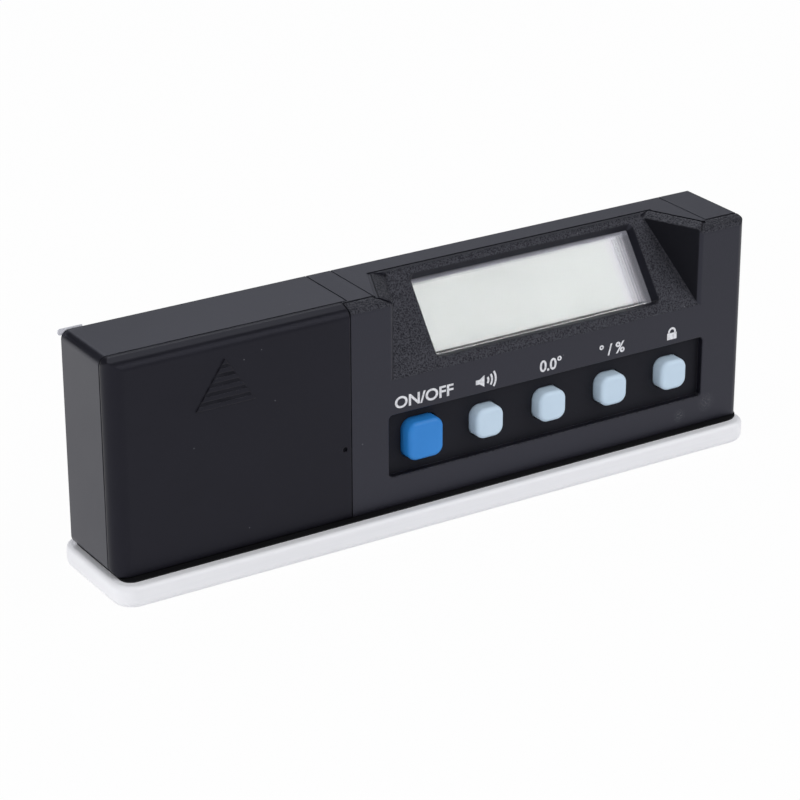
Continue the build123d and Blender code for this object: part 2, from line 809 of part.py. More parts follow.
# Screws of the display board
display_screw = pan_screw(board_screw_length)
head_plane = bezel_plane.offset(-board_depth - display_board_thickness)
with BuildPart() as display_screws:
    head_points = [head_plane.from_local_coords((x, up, 0)) for x, up in display_bosses]
    with Locations(*facing(-head_plane.z_dir, head_points)):
        add(display_screw)
display_screws.part.label = "display_screws"
export_step(display_screws.part, "parts/display_screws.step")

# Flexible strip from the back of the display board to the back of the main board
strip_depth = board_depth + display_board_thickness + ribbon_thickness / 2
strip_y = board_back + ribbon_thickness / 2
bend_up = (strip_y - bezel_point(0, strip_depth)[0]) / sin(lean)
with BuildPart() as display_ribbon:
    with BuildSketch(Plane.YZ.offset(panel_x)):
        with BuildLine() as strip_line:
            FilletPolyline(
                bezel_point(ribbon_start, strip_depth),
                bezel_point(bend_up, strip_depth),
                (strip_y, ribbon_end),
                radius=ribbon_bend,
            )
        trace(line_width=ribbon_thickness)
    extrude(amount=ribbon_width / 2, both=True)
display_ribbon.part.label = "display_ribbon"
export_step(display_ribbon.part, "parts/display_ribbon.step")

# Main board
with BuildPart() as main_board:
    slab((board_left, board_front, board_low), (board_right, board_back, board_high))
    with Locations(*facing((0, 1, 0), [(x, board_back, z) for x, z in board_bosses])):
        Hole(screw_hole, depth=board_thickness)
main_board.part.label = "main_board"
export_step(main_board.part, "parts/main_board.step")

# Screws of the main board
board_screw = pan_screw(board_screw_length)
with BuildPart() as board_screws:
    with Locations(*facing((0, 1, 0), [(x, board_back, z) for x, z in board_bosses])):
        add(board_screw)
board_screws.part.label = "board_screws"
export_step(board_screws.part, "parts/board_screws.step")

# Rubber mat on the board, with an opening and a raised collar round each key
mat_front = board_front - mat_thickness
with BuildPart() as keypad_mat:
    with BuildSketch(Plane.XZ.offset(-board_front)):
        with Locations((panel_x, key_z)):
            Rectangle(mat_width, mat_height)
    extrude(amount=mat_thickness)
    with BuildSketch(Plane.XZ.offset(-mat_front)):
        for key_x, key_size in zip(key_xs, key_sizes):
            collar = key_size + 2 * (flange_margin + mat_gap + mat_margin / 2)
            with Locations((key_x, key_z)):
                RectangleRounded(collar, collar, key_corner + flange_margin)
    extrude(amount=mat_front - floor_back)
    with BuildSketch(Plane.XZ.offset(-board_front)):
        for key_x, key_size in zip(key_xs, key_sizes):
            hole = key_size + 2 * (flange_margin + mat_gap)
            with Locations((key_x, key_z)):
                RectangleRounded(hole, hole, key_corner + flange_margin)
    extrude(amount=key_room, mode=Mode.SUBTRACT)
keypad_mat.part.label = "keypad_mat"
export_step(keypad_mat.part, "parts/keypad_mat.step")

# Keys, each with the flange that keeps it behind the pocket floor, and the carbon pill under it
flange_front = floor_back + flange_play
flange_back = flange_front + flange_thickness
for key_name, key_x, key_size in zip(key_names, key_xs, key_sizes):
    with BuildPart() as key:
        with BuildSketch(Plane.XZ.offset(key_proud - front)):
            with Locations((key_x, key_z)):
                RectangleRounded(key_size, key_size, key_corner)
        extrude(amount=front - key_proud - flange_front)
        fillet(key.faces().sort_by(Axis.Y)[0].edges(), key_edge)
        with BuildSketch(Plane.XZ.offset(-flange_front)):
            with Locations((key_x, key_z)):
                flange_size = key_size + 2 * flange_margin
                RectangleRounded(flange_size, flange_size, key_corner + flange_margin)
        extrude(amount=-flange_thickness)
    key.part.label = f"key_{key_name}"
    export_step(key.part, f"parts/key_{key_name}.step")
    with BuildPart() as pill:
        with BuildSketch(Plane.XZ.offset(-flange_back)):
            with Locations((key_x, key_z)):
                Circle(pill_radius)
        extrude(amount=-pill_thickness)
    pill.part.label = f"pill_{key_name}"
    export_step(pill.part, f"parts/pill_{key_name}.step")

# Controller chip
back_plane = Plane.XZ.offset(-board_back)
with BuildPart() as microcontroller:
    with BuildSketch(back_plane):
        with Locations((controller_x, controller_z)):
            Rectangle(controller_size, controller_size)
    extrude(amount=-controller_height)
    chamfer(microcontroller.faces().sort_by(Axis.Y)[-1].edges(), chip_chamfer)
microcontroller.part.label = "microcontroller"
export_step(microcontroller.part, "parts/microcontroller.step")

# Tilt sensor chip
with BuildPart() as tilt_sensor:
    with BuildSketch(back_plane):
        with Locations((sensor_x, sensor_z)):
            Rectangle(sensor_size, sensor_size)
    extrude(amount=-sensor_height)
    chamfer(tilt_sensor.faces().sort_by(Axis.Y)[-1].edges(), chip_chamfer)
tilt_sensor.part.label = "tilt_sensor"
export_step(tilt_sensor.part, "parts/tilt_sensor.step")

# Sounder with its port
with BuildPart() as sounder:
    with BuildSketch(back_plane):
        with Locations((sounder_x, sounder_z)):
            Circle(sounder_radius)
    extrude(amount=-sounder_height)
    fillet(sounder.faces().sort_by(Axis.Y)[-1].edges(), can_edge)
    with Locations(Plane(origin=(sounder_x, board_back + sounder_height, sounder_z), z_dir=(0, 1, 0))):
        Hole(sounder_port, depth=sounder_port_depth)
sounder.part.label = "sounder"
export_step(sounder.part, "parts/sounder.step")

# Crystal in its can
with BuildPart() as crystal:
    with BuildSketch(back_plane):
        with Locations((crystal_x, crystal_z)):
            SlotOverall(crystal_length, crystal_width)
    extrude(amount=-crystal_height)
    fillet(crystal.faces().sort_by(Axis.Y)[-1].edges(), can_edge)
crystal.part.label = "crystal"
export_step(crystal.part, "parts/crystal.step")

# Supply capacitor
with BuildPart() as capacitor:
    with BuildSketch(back_plane):
        with Locations((capacitor_x, capacitor_z)):
            Circle(capacitor_radius)
    extrude(amount=-capacitor_height)
    fillet(capacitor.faces().sort_by(Axis.Y)[-1].edges(), can_edge)
capacitor.part.label = "capacitor"
export_step(capacitor.part, "parts/capacitor.step")

# Header that the battery leads plug into
with BuildPart() as lead_header:
    slab((header_left, board_back, header_low), (header_right, board_back + header_depth, header_high))
    chamfer(lead_header.edges().filter_by(Axis.Z), header_chamfer)
lead_header.part.label = "lead_header"
export_step(lead_header.part, "parts/lead_header.step")

# Battery leads from the contact tabs to the header
header_y = board_back + header_depth / 2
tab_y = (tab_front + tab_back) / 2
lead_routes = {
    "lead_positive": (upper_cell_z, lead_positive_turn),
    "lead_negative": (lower_cell_z, lead_negative_turn),
}
for lead_name, (cell_z, (turn_x, plug_x, turn_z)) in lead_routes.items():
    tab_z = cell_z + tab_rise + contact_sheet / 2
    with BuildPart() as lead:
        with BuildLine() as lead_line:
            FilletPolyline(
                (tab_end, tab_y, tab_z),
                (turn_x, tab_y, tab_z),
                (plug_x, header_y, turn_z),
                (plug_x, header_y, header_high),
                radius=lead_bend,
            )
        with BuildSketch(Plane(origin=lead_line.line @ 0, z_dir=lead_line.line % 0)):
            Circle(lead_radius)
        sweep(path=lead_line.line)
    lead.part.label = lead_name
    export_step(lead.part, f"parts/{lead_name}.step")

# Two AAA cells, laid in opposite directions
bridge_face = inner_left + contact_sheet
plate_face = partition_left - contact_sheet
cell_ends = {
    "battery_lower": (bridge_face + contact_dimple, 1, lower_cell_z),
    "battery_upper": (plate_face - contact_dimple, -1, upper_cell_z),
}
for cell_name, (tip_x, inward, cell_z) in cell_ends.items():
    with BuildPart() as cell:
        with Locations(Plane(origin=(tip_x, cell_y, cell_z), z_dir=(inward, 0, 0))):
            Cylinder(nub_radius, cell_length, align=(Align.CENTER, Align.CENTER, Align.MIN))
        with Locations(Plane(origin=(tip_x + inward * nub_length, cell_y, cell_z), z_dir=(inward, 0, 0))):
            Cylinder(cell_radius, cell_length - nub_length, align=(Align.CENTER, Align.CENTER, Align.MIN))
        fillet(cell.edges().filter_by(GeomType.CIRCLE).sort_by(SortBy.RADIUS)[-2:], cell_edge)
    cell.part.label = cell_name
    export_step(cell.part, f"parts/{cell_name}.step")

# Plate that joins the two cells at the left end
with BuildPart() as contact_bridge:
    slab(
        (inner_left, contact_front, lower_cell_z - contact_half_height),
        (bridge_face, contact_back, upper_cell_z + contact_half_height),
    )
    with Locations(Plane(origin=(bridge_face, cell_y, lower_cell_z), z_dir=(1, 0, 0))):
        Cylinder(dimple_radius, contact_dimple, align=(Align.CENTER, Align.CENTER, Align.MIN))
contact_bridge.part.label = "contact_bridge"
export_step(contact_bridge.part, "parts/contact_bridge.step")

# Plates at the right end, each with a solder tab through the partition
end_plates = (("contact_positive", upper_cell_z, True), ("contact_negative", lower_cell_z, False))
for contact_name, cell_z, raised in end_plates:
    with BuildPart() as contact:
        slab(
            (plate_face, contact_front, cell_z - contact_half_height),
            (partition_left, contact_back, cell_z + contact_half_height),
        )
        slab(
            (plate_face, tab_front, cell_z + tab_rise),
            (tab_end, tab_back, cell_z + tab_rise + contact_sheet),
        )
        if raised:
            with Locations(Plane(origin=(plate_face, cell_y, cell_z), z_dir=(-1, 0, 0))):
                Cylinder(dimple_radius, contact_dimple, align=(Align.CENTER, Align.CENTER, Align.MIN))
    contact.part.label = contact_name
    export_step(contact.part, f"parts/{contact_name}.step")

# Coil springs that press on the cells' flat ends
spring_space = plate_face - bridge_face - cell_length - contact_dimple
spring_rise = spring_space - 2 * (spring_wire + spring_gap)
with BuildPart() as battery_springs:
    for plate_x, inward, cell_z in ((bridge_face, 1, upper_cell_z), (plate_face, -1, lower_cell_z)):
        with BuildLine() as coil:
            Helix(
                pitch=spring_rise / spring_turns,
                height=spring_rise,
                radius=spring_base,
                center=(plate_x + inward * (spring_wire + spring_gap), cell_y, cell_z),
                direction=(inward, 0, 0),
                cone_angle=spring_cone,
            )
        with BuildSketch(Plane(origin=coil.line @ 0, z_dir=coil.line % 0)):
            Circle(spring_wire)
        sweep(path=coil.line, is_frenet=True)
battery_springs.part.label = "battery_springs"
export_step(battery_springs.part, "parts/battery_springs.step")

# Strip of film that sticks out behind the top left corner
with BuildPart() as film_tab:
    with BuildSketch(Plane.XZ.offset(-rear)) as strip:
        with Locations(((film_left + film_right) / 2, (film_low + film_high) / 2)):
            Rectangle(film_right - film_left, film_high - film_low)
        with Locations(((ear_left + film_right) / 2, (ear_low + film_high) / 2)):
            Rectangle(film_right - ear_left, film_high - ear_low)
        fillet(strip.vertices().group_by(Axis.X)[0], ear_corner)
    extrude(amount=-film_thickness)
film_tab.part.label = "film_tab"
export_step(film_tab.part, "parts/film_tab.step")
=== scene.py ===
import json
import math

import bmesh
import bpy
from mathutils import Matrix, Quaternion, Vector


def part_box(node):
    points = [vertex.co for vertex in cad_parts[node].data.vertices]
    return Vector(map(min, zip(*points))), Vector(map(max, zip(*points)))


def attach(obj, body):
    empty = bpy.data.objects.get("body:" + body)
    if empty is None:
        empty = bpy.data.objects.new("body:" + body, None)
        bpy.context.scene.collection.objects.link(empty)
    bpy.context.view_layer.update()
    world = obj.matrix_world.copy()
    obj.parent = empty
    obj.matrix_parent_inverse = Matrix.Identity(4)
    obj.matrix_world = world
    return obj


# %% [markdown]
# A slim digital inclinometer, dressed for a picture.
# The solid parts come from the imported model, in metres, and they already fit together. This lesson
# never moves or reshapes them. It adds a camera, light, the printed marks above the keys, and a finish
# for every part.

# %% Load the solid parts
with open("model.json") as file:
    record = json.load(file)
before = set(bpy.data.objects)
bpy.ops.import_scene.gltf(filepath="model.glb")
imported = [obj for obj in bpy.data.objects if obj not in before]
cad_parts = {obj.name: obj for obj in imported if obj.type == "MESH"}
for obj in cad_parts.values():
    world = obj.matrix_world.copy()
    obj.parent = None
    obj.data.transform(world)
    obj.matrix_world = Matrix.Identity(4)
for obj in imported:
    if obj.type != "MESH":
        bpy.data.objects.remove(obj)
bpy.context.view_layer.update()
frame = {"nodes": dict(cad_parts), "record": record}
nodes = frame["nodes"]
MM = 0.001

# %% [markdown]
# The camera.
# The photograph was taken with a long lens from the front left and above. The angles, distance and
# focal length below were fitted to the straight edges of the rail and the case, so the edges fall close
# to where the photograph has them. A camera could also be placed by eye, but then each later comparison
# would mix shape errors with view errors.

# %% Camera
view_azimuth = math.radians(-32.04)
view_elevation = math.radians(23.43)
view_roll = math.radians(-0.157)
view_distance = 0.60787
view_target = Vector((-4.72, 0.0, 23.47)) * MM

backward = Vector(
    (
        math.sin(view_azimuth) * math.cos(view_elevation),
        -math.cos(view_azimuth) * math.cos(view_elevation),
        math.sin(view_elevation),
    )
)
camera = bpy.data.objects.new("camera", bpy.data.cameras.new("camera"))
bpy.context.scene.collection.objects.link(camera)
camera.data.sensor_width = 36.0
camera.data.lens = 132.4
camera.data.clip_start = 0.01
camera.location = view_target + backward * view_distance
camera.rotation_mode = "QUATERNION"
camera.rotation_quaternion = (-backward).to_track_quat("-Z", "Y") @ Quaternion((0, 0, 1), view_roll)
bpy.context.scene.camera = camera
bpy.context.scene.view_settings.view_transform = "Standard"
print("camera at", [round(value, 3) for value in camera.location])

# %% [markdown]
# Small tools for nodes.
# The room, the floor and every finish are made of nodes, so a few helpers keep each one short: one
# stretches a value from one range to another, one calculates, two blend values or colours by a mask,
# and one measures along a direction. Writing the nodes out each time would work too, but would hide
# what differs between two finishes. A mix node keeps its sockets for values and for colours at
# different numbers, so those are named.

# %% Node helpers
MIX_MASK = 0
MIX_VALUES = (2, 3)
MIX_COLOURS = (6, 7)
MIX_VALUE_RESULT = 0
MIX_COLOUR_RESULT = 2


def feed(tree, value, socket):
    """Links a node's output to the socket, or writes a plain number or colour into it."""
    if isinstance(value, (int, float)):
        socket.default_value = value
    elif isinstance(value, tuple):
        socket.default_value = (*value, 1)
    else:
        tree.links.new(value, socket)


def stretch(tree, value, low, high, to_low=0.0, to_high=1.0):
    node = tree.nodes.new("ShaderNodeMapRange")
    node.inputs["From Min"].default_value = low
    node.inputs["From Max"].default_value = high
    node.inputs["To Min"].default_value = to_low
    node.inputs["To Max"].default_value = to_high
    feed(tree, value, node.inputs["Value"])
    return node.outputs["Result"]


def calculate(tree, operation, first, second):
    node = tree.nodes.new("ShaderNodeMath")
    node.operation = operation
    feed(tree, first, node.inputs[0])
    feed(tree, second, node.inputs[1])
    return node.outputs[0]


def blend_values(tree, mask, first, second):
    node = tree.nodes.new("ShaderNodeMix")
    feed(tree, mask, node.inputs[MIX_MASK])
    feed(tree, first, node.inputs[MIX_VALUES[0]])
    feed(tree, second, node.inputs[MIX_VALUES[1]])
    return node.outputs[MIX_VALUE_RESULT]


def blend_colours(tree, mask, first, second):
    node = tree.nodes.new("ShaderNodeMix")
    node.data_type = "RGBA"
    feed(tree, mask, node.inputs[MIX_MASK])
    feed(tree, first, node.inputs[MIX_COLOURS[0]])
    feed(tree, second, node.inputs[MIX_COLOURS[1]])
    return node.outputs[MIX_COLOUR_RESULT]


def along(tree, vector, direction):
    """How far a vector reaches in a direction."""
    node = tree.nodes.new("ShaderNodeVectorMath")
    node.operation = "DOT_PRODUCT"
    tree.links.new(vector, node.inputs[0])
    node.inputs[1].default_value = direction
    return node.outputs["Value"]


# %% [markdown]
# Floor.
# The object stands on a white sheet in a white room. A plain diffuse floor would come out grey, and
# turning the lamps up until it is white would wash out the object. So the floor shows white to rays
# that come straight from the camera or from a reflection, and a share of plain diffuse is kept for the
# shadow.

# %% Floor
floor_size = 6.0
floor_gap = 0.2 * MM
floor_glow = 0.97
sheet_white = (0.85, 0.85, 0.86, 1)


def make_floor():
    mesh = bpy.data.meshes.new("floor")
    half = floor_size / 2
    corners = [(-half, -half), (half, -half), (half, half), (-half, half)]
    mesh.from_pydata([(x, y, -floor_gap) for x, y in corners], [], [(0, 1, 2, 3)])
    floor = bpy.data.objects.new("floor", mesh)
    bpy.context.scene.collection.objects.link(floor)
    material = bpy.data.materials.new("white_sheet")
    material.use_nodes = True
    tree = material.node_tree
    tree.nodes.clear()
    diffuse = tree.nodes.new("ShaderNodeBsdfDiffuse")
    diffuse.inputs["Color"].default_value = sheet_white
    glow = tree.nodes.new("ShaderNodeEmission")
    glow.inputs["Strength"].default_value = 1.0
    path = tree.nodes.new("ShaderNodeLightPath")
    direct = calculate(tree, "MAXIMUM", path.outputs["Is Camera Ray"], path.outputs["Is Transmission Ray"])
    seen = calculate(tree, "MAXIMUM", direct, path.outputs["Is Glossy Ray"])
    mix = tree.nodes.new("ShaderNodeMixShader")
    tree.links.new(calculate(tree, "MULTIPLY", seen, floor_glow), mix.inputs["Fac"])
    tree.links.new(diffuse.outputs[0], mix.inputs[1])
    tree.links.new(glow.outputs[0], mix.inputs[2])
    output = tree.nodes.new("ShaderNodeOutputMaterial")
    tree.links.new(mix.outputs[0], output.inputs["Surface"])
    mesh.materials.append(material)


make_floor()
print("floor", floor_size, "m wide, glow", floor_glow)

# %% [markdown]
# Surroundings.
# In a studio the room behind the object is lit and the room behind the camera is dark. Black plastic
# shows the room in its gloss, so reflections get a room of their own: dim, with one bright soft patch
# high at the back that draws the light lines along the bevels. A lamp could draw them too, but it would
# also light the display at a grazing angle.

# %% World
ambient_strength = 0.5
room_gloss = 0.12
patch_gloss = 2.4
patch_direction = Vector((0.38, 0.62, 0.70)).normalized()
patch_inner = math.cos(math.radians(10))
patch_outer = math.cos(math.radians(21))
room_colour = (0.92, 0.94, 1.0, 1)


def make_world():
    world = bpy.data.worlds.new("white_room")
    bpy.context.scene.world = world
    world.use_nodes = True
    tree = world.node_tree
    background = tree.nodes["Background"]
    background.inputs["Color"].default_value = room_colour
    path = tree.nodes.new("ShaderNodeLightPath")
    direction = tree.nodes.new("ShaderNodeTexCoord").outputs["Generated"]
    towards_patch = along(tree, direction, patch_direction)
    mirrored = stretch(tree, towards_patch, patch_outer, patch_inner, room_gloss, patch_gloss)
    unseen = blend_values(tree, path.outputs["Is Glossy Ray"], ambient_strength, mirrored)
    direct = calculate(tree, "MAXIMUM", path.outputs["Is Camera Ray"], path.outputs["Is Transmission Ray"])
    tree.links.new(blend_values(tree, direct, unseen, 1.0), background.inputs["Strength"])


make_world()
print("room: ambient", ambient_strength, "in reflections", room_gloss, "with a patch of", patch_gloss)

# %% [markdown]
# Lamps.
# The keys throw short shadows to the left, and the display is shaded along its top and right, so the
# main softbox hangs at the front right, above the camera. A fill at the left end opens the shadow side.
# It is kept out of reflections, where it would draw a second line along the rounded corner. Both are
# only sampled directly: when rays could also hit them by chance, the two ways of counting left a faint
# step in the middle of the display.

# %% Lamps
lamp_plan = {
    "front_softbox": {"place": (0.62, -0.80, 0.83), "side": 1.2, "watts": 8.0, "mirrored": True},
    "left_fill": {"place": (-1.15, 0.0, 0.30), "side": 0.8, "watts": 6.8, "mirrored": False},
}
for lamp_name, plan in lamp_plan.items():
    lamp_data = bpy.data.lights.new(lamp_name, "AREA")
    lamp_data.energy = plan["watts"]
    lamp_data.size = plan["side"]
    lamp = bpy.data.objects.new(lamp_name, lamp_data)
    bpy.context.scene.collection.objects.link(lamp)
    lamp.location = plan["place"]
    lamp.rotation_mode = "QUATERNION"
    lamp.rotation_quaternion = (view_target - lamp.location).to_track_quat("-Z", "Y")
    lamp.visible_glossy = plan["mirrored"]
    lamp_data.cycles.use_multiple_importance_sampling = False
print("lamps:", ", ".join(lamp_plan))

# %% [markdown]
# Small tools for materials.
# One helper starts a material, one places a shared node group with its own values, one turns a height
# into bump, one gives a finished material to some solid parts, and one lists the parts that the record
# has in a slot. Setting up each part by itself would work too, but the record already says which parts
# share a finish.

# %% Material helpers
def new_material(name):
    material = bpy.data.materials.new(name)
    material.use_nodes = True
    return material, material.node_tree, material.node_tree.nodes["Principled BSDF"]


def place_group(tree, group, **values):
    node = tree.nodes.new("ShaderNodeGroup")
    node.node_tree = group
    for socket_name, value in values.items():
        feed(tree, value, node.inputs[socket_name.replace("_", " ").capitalize()])
    return node.outputs


def add_bump(tree, shader, height, depth, rounded=None):
    node = tree.nodes.new("ShaderNodeBump")
    node.inputs["Distance"].default_value = depth
    tree.links.new(height, node.inputs["Height"])
    if rounded is not None:
        tree.links.new(rounded, node.inputs["Normal"])
    tree.links.new(node.outputs["Normal"], shader.inputs["Normal"])


def dress(node_names, material):
    for node_name in node_names:
        mesh = nodes[node_name].data
        mesh.materials.clear()
        mesh.materials.append(material)
    print(material.name, "on", ", ".join(node_names))


def in_slot(slot_name):
    return [entry["node"] for entry in frame["record"]["subparts"] if entry["material_slot"] == slot_name]


# %% [markdown]
# Shared effects as node groups.
# Moulded parts share a few things: a grain from the mould, slow drifts in colour, edges that are a
# little round with a mask for rubbed wear and painted highlights, and specks of dust. Each is a group
# that puts out a height, a mask or a normal, so two materials can use the same effect at different
# sizes. They work in the part's own coordinates, so they travel with moving parts.

# %% Group helpers
def new_group(name, inputs, outputs):
    group = bpy.data.node_groups.new(name, "ShaderNodeTree")
    for socket_name, value in inputs.items():
        socket = group.interface.new_socket(name=socket_name, in_out="INPUT", socket_type="NodeSocketFloat")
        socket.default_value = value
    for socket_name in outputs:
        kind = "NodeSocketVector" if socket_name == "Normal" else "NodeSocketFloat"
        group.interface.new_socket(name=socket_name, in_out="OUTPUT", socket_type=kind)
    entry = group.nodes.new("NodeGroupInput")
    leave = group.nodes.new("NodeGroupOutput")
    return group, entry.outputs, leave.inputs


def own_place(tree):
    return tree.nodes.new("ShaderNodeTexCoord").outputs["Object"]


def own_normal(tree):
    return tree.nodes.new("ShaderNodeTexCoord").outputs["Normal"]


def noise(tree, vector, scale, detail=2.0, roughness=0.5):
    node = tree.nodes.new("ShaderNodeTexNoise")
    node.inputs["Detail"].default_value = detail
    node.inputs["Roughness"].default_value = roughness
    tree.links.new(vector, node.inputs["Vector"])
    feed(tree, scale, node.inputs["Scale"])
    return node.outputs[0]


# %% [markdown]
# Moulded grain.
# A spark-eroded mould leaves small soft pits. Rounded cells give their shape and a little noise breaks
# them up. Real pits would take millions of faces, so they are a height for bump and a mask of their
# floors.

# %% Moulded grain
def make_grain_group():
    """Small soft pits of a spark-eroded mould, as a height and as a mask of the pits' floors."""
    group, given, result = new_group("moulded_grain", {"Cells per metre": 2600.0}, ["Height", "Pits"])
    where = own_place(group)
    cells = group.nodes.new("ShaderNodeTexVoronoi")
    cells.feature = "SMOOTH_F1"
    group.links.new(where, cells.inputs["Vector"])
    group.links.new(given["Cells per metre"], cells.inputs["Scale"])
    fine = noise(group, where, given["Cells per metre"], detail=1.0)
    height = calculate(group, "ADD", calculate(group, "MULTIPLY", cells.outputs["Distance"], 0.7), fine)
    group.links.new(height, result["Height"])
    group.links.new(stretch(group, height, 0.95, 0.55), result["Pits"])
    return group


moulded_grain = make_grain_group()
print("group made:", moulded_grain.name)

# %% [markdown]
# Slow drift.
# Large faces are never quite even. Broad noise, stretched to use its whole range, gives a mask for
# that. It could be painted by hand, but then it would need a picture file.

# %% Slow drift
def make_drift_group():
    """Broad cloudy variation between 0 and 1."""
    group, given, result = new_group("slow_drift", {"Clouds per metre": 40.0}, ["Cloud"])
    cloud = noise(group, own_place(group), given["Clouds per metre"], detail=4.0, roughness=0.6)
    group.links.new(stretch(group, cloud, 0.3, 0.7), result["Cloud"])
    return group


slow_drift = make_drift_group()
print("group made:", slow_drift.name)

# %% [markdown]
# Rounded edges, rubbed and highlit.
# The bevel node blends the normals of faces that meet, so it rounds an edge in the shading. It also
# tells where the edges are, because there its normal departs from the flat one. That mask makes edges
# paler: rubbed wear, and on the case, keys and rail a painted highlight too. Cutting small fillets
# would be the other way, but the solids are not to be changed here.

# %% Rounded edges, rubbed and highlit
def make_edge_group():
    """A normal that rounds the edges off, and a broken mask along them for rubbed wear and painted
    highlights.
    """
    group, given, result = new_group(
        "worn_highlit_edges", {"Width": 0.3 * MM, "Breakup per metre": 900.0}, ["Edge", "Normal"]
    )
    rounded = group.nodes.new("ShaderNodeBevel")
    rounded.samples = 6
    group.links.new(given["Width"], rounded.inputs["Radius"])
    flat = group.nodes.new("ShaderNodeNewGeometry")
    likeness = group.nodes.new("ShaderNodeVectorMath")
    likeness.operation = "DOT_PRODUCT"
    group.links.new(rounded.outputs["Normal"], likeness.inputs[0])
    group.links.new(flat.outputs["Normal"], likeness.inputs[1])
    edge = stretch(group, likeness.outputs["Value"], 0.995, 0.86)
    patches = noise(group, own_place(group), given["Breakup per metre"], detail=3.0)
    broken = stretch(group, patches, 0.35, 0.65, 0.25, 1.0)
    group.links.new(calculate(group, "MULTIPLY", edge, broken), result["Edge"])
    group.links.new(rounded.outputs["Normal"], result["Normal"])
    return group


worn_highlit_edges = make_edge_group()
print("group made:", worn_highlit_edges.name)

# %% [markdown]
# Settled specks.
# Dust is sparse, so each cell of a pattern holds at most one small dot, and more than half of the cells
# hold none. Plain noise would give blotches instead of dots.

# %% Settled specks
empty_share = 0.6


def make_speck_group():
    """Sparse pale specks of dust: most cells of the pattern stay empty."""
    group, given, result = new_group("settled_specks", {"Specks per metre": 260.0, "Size": 0.035}, ["Speck"])
    cells = group.nodes.new("ShaderNodeTexVoronoi")
    group.links.new(own_place(group), cells.inputs["Vector"])
    group.links.new(given["Specks per metre"], cells.inputs["Scale"])
    chosen = group.nodes.new("ShaderNodeSeparateColor")
    group.links.new(cells.outputs["Color"], chosen.inputs["Color"])
    near = calculate(group, "LESS_THAN", cells.outputs["Distance"], given["Size"])
    kept = calculate(group, "GREATER_THAN", chosen.outputs[0], empty_share)
    group.links.new(calculate(group, "MULTIPLY", near, kept), result["Speck"])
    return group


settled_specks = make_speck_group()
print("group made:", settled_specks.name)

# %% [markdown]
# Drawn streaks.
# A rail that is drawn and brushed has fine lines along its length. Noise that is squeezed along X gives
# them. A wave pattern would also give lines, but evenly spaced ones.

# %% Drawn streaks
line_squeeze = (0.012, 1.0, 1.0)


def make_streak_group():
    """Fine lines along X, as a rail keeps from drawing and brushing."""
    group, given, result = new_group("drawn_streaks", {"Lines per metre": 4000.0}, ["Streak"])
    squeeze = group.nodes.new("ShaderNodeVectorMath")
    squeeze.operation = "MULTIPLY"
    squeeze.inputs[1].default_value = line_squeeze
    group.links.new(own_place(group), squeeze.inputs[0])
    lines = noise(group, squeeze.outputs[0], given["Lines per metre"], detail=3.0, roughness=0.6)
    group.links.new(stretch(group, lines, 0.3, 0.7), result["Streak"])
    return group


drawn_streaks = make_streak_group()
print("group made:", drawn_streaks.name)

# %% [markdown]
# Coarse places on the case.
# The sloping display surround and the bevels have a coarse grain like fine leather. A painted mask
# would need a picture file, so these places are found by the way that the surface faces: along the
# slope's own normal, or upward but not quite level.

# %% Coarse places
slope_run = 13.3 * MM
slope_rise = 17.8 * MM
display_lean = math.atan2(slope_run, slope_rise)
slope_normal = (0.0, -math.cos(display_lean), math.sin(display_lean))
upward = (0, 0, 1)
frontward = (0, -1, 0)


def coarse_places(tree):
    """A mask of the sloping surround and of the bevels, read from the direction that the surface faces."""
    facing = own_normal(tree)
    slope = stretch(tree, along(tree, facing, slope_normal), 0.90, 0.97)
    rise = along(tree, facing, upward)
    tilted_up = stretch(tree, rise, 0.45, 0.75)
    not_level = stretch(tree, rise, 0.995, 0.975)
    return calculate(tree, "MAXIMUM", slope, calculate(tree, "MULTIPLY", tilted_up, not_level))


print("display leans back by", round(math.degrees(display_lean), 1), "degrees")

# %% [markdown]
# Dull, shaded places on the right shell.
# The scoop's side walls and the floor of the key pocket are made rough and near black, which is
# painted shade for these sunken faces, and the rim behind the scoop gets half of both. The walls are
# found by their direction, and the other two by where they lie as well.

# %% Dull, shaded places on the right shell
scoop_middle_x = 26.0 * MM
scoop_front_half = 38.5 * MM
scoop_rear_half = 32.4 * MM
wall_splay = math.atan2(scoop_front_half - scoop_rear_half, slope_run)
rim_front_y = 3.1 * MM
# Painted shade: the near black for sunken faces and for the grain's pits.
rim_back_y = 4.3 * MM
# The share of roughness and painted shade that the rim gets.
rim_dull_shade_share = 0.5
pocket_mouth_y = -9.2 * MM
pocket_floor_y = -8.8 * MM


def between(tree, value, low, high, soft):
    """A mask that is 1 from low to high and fades out over a soft width on both sides."""
    risen = stretch(tree, value, low - soft, low)
    return calculate(tree, "MULTIPLY", risen, stretch(tree, value, high + soft, high))


def own_distance(tree, axis):
    """How far a point of the part lies along one axis, X, Y or Z."""
    return along(tree, own_place(tree), {"X": (1, 0, 0), "Y": (0, 1, 0), "Z": (0, 0, 1)}[axis])


def rim_places(tree):
    """A mask of the narrow level rim on the top, behind the display scoop."""
    deep = between(tree, own_distance(tree, "Y"), rim_front_y, rim_back_y, 0.1 * MM)
    left_end = scoop_middle_x - scoop_rear_half
    right_end = scoop_middle_x + scoop_rear_half
    wide = between(tree, own_distance(tree, "X"), left_end, right_end, 1.0 * MM)
    level = stretch(tree, along(tree, own_normal(tree), upward), 0.9, 0.98, 0.0, rim_dull_shade_share)
    return calculate(tree, "MULTIPLY", calculate(tree, "MULTIPLY", deep, wide), level)


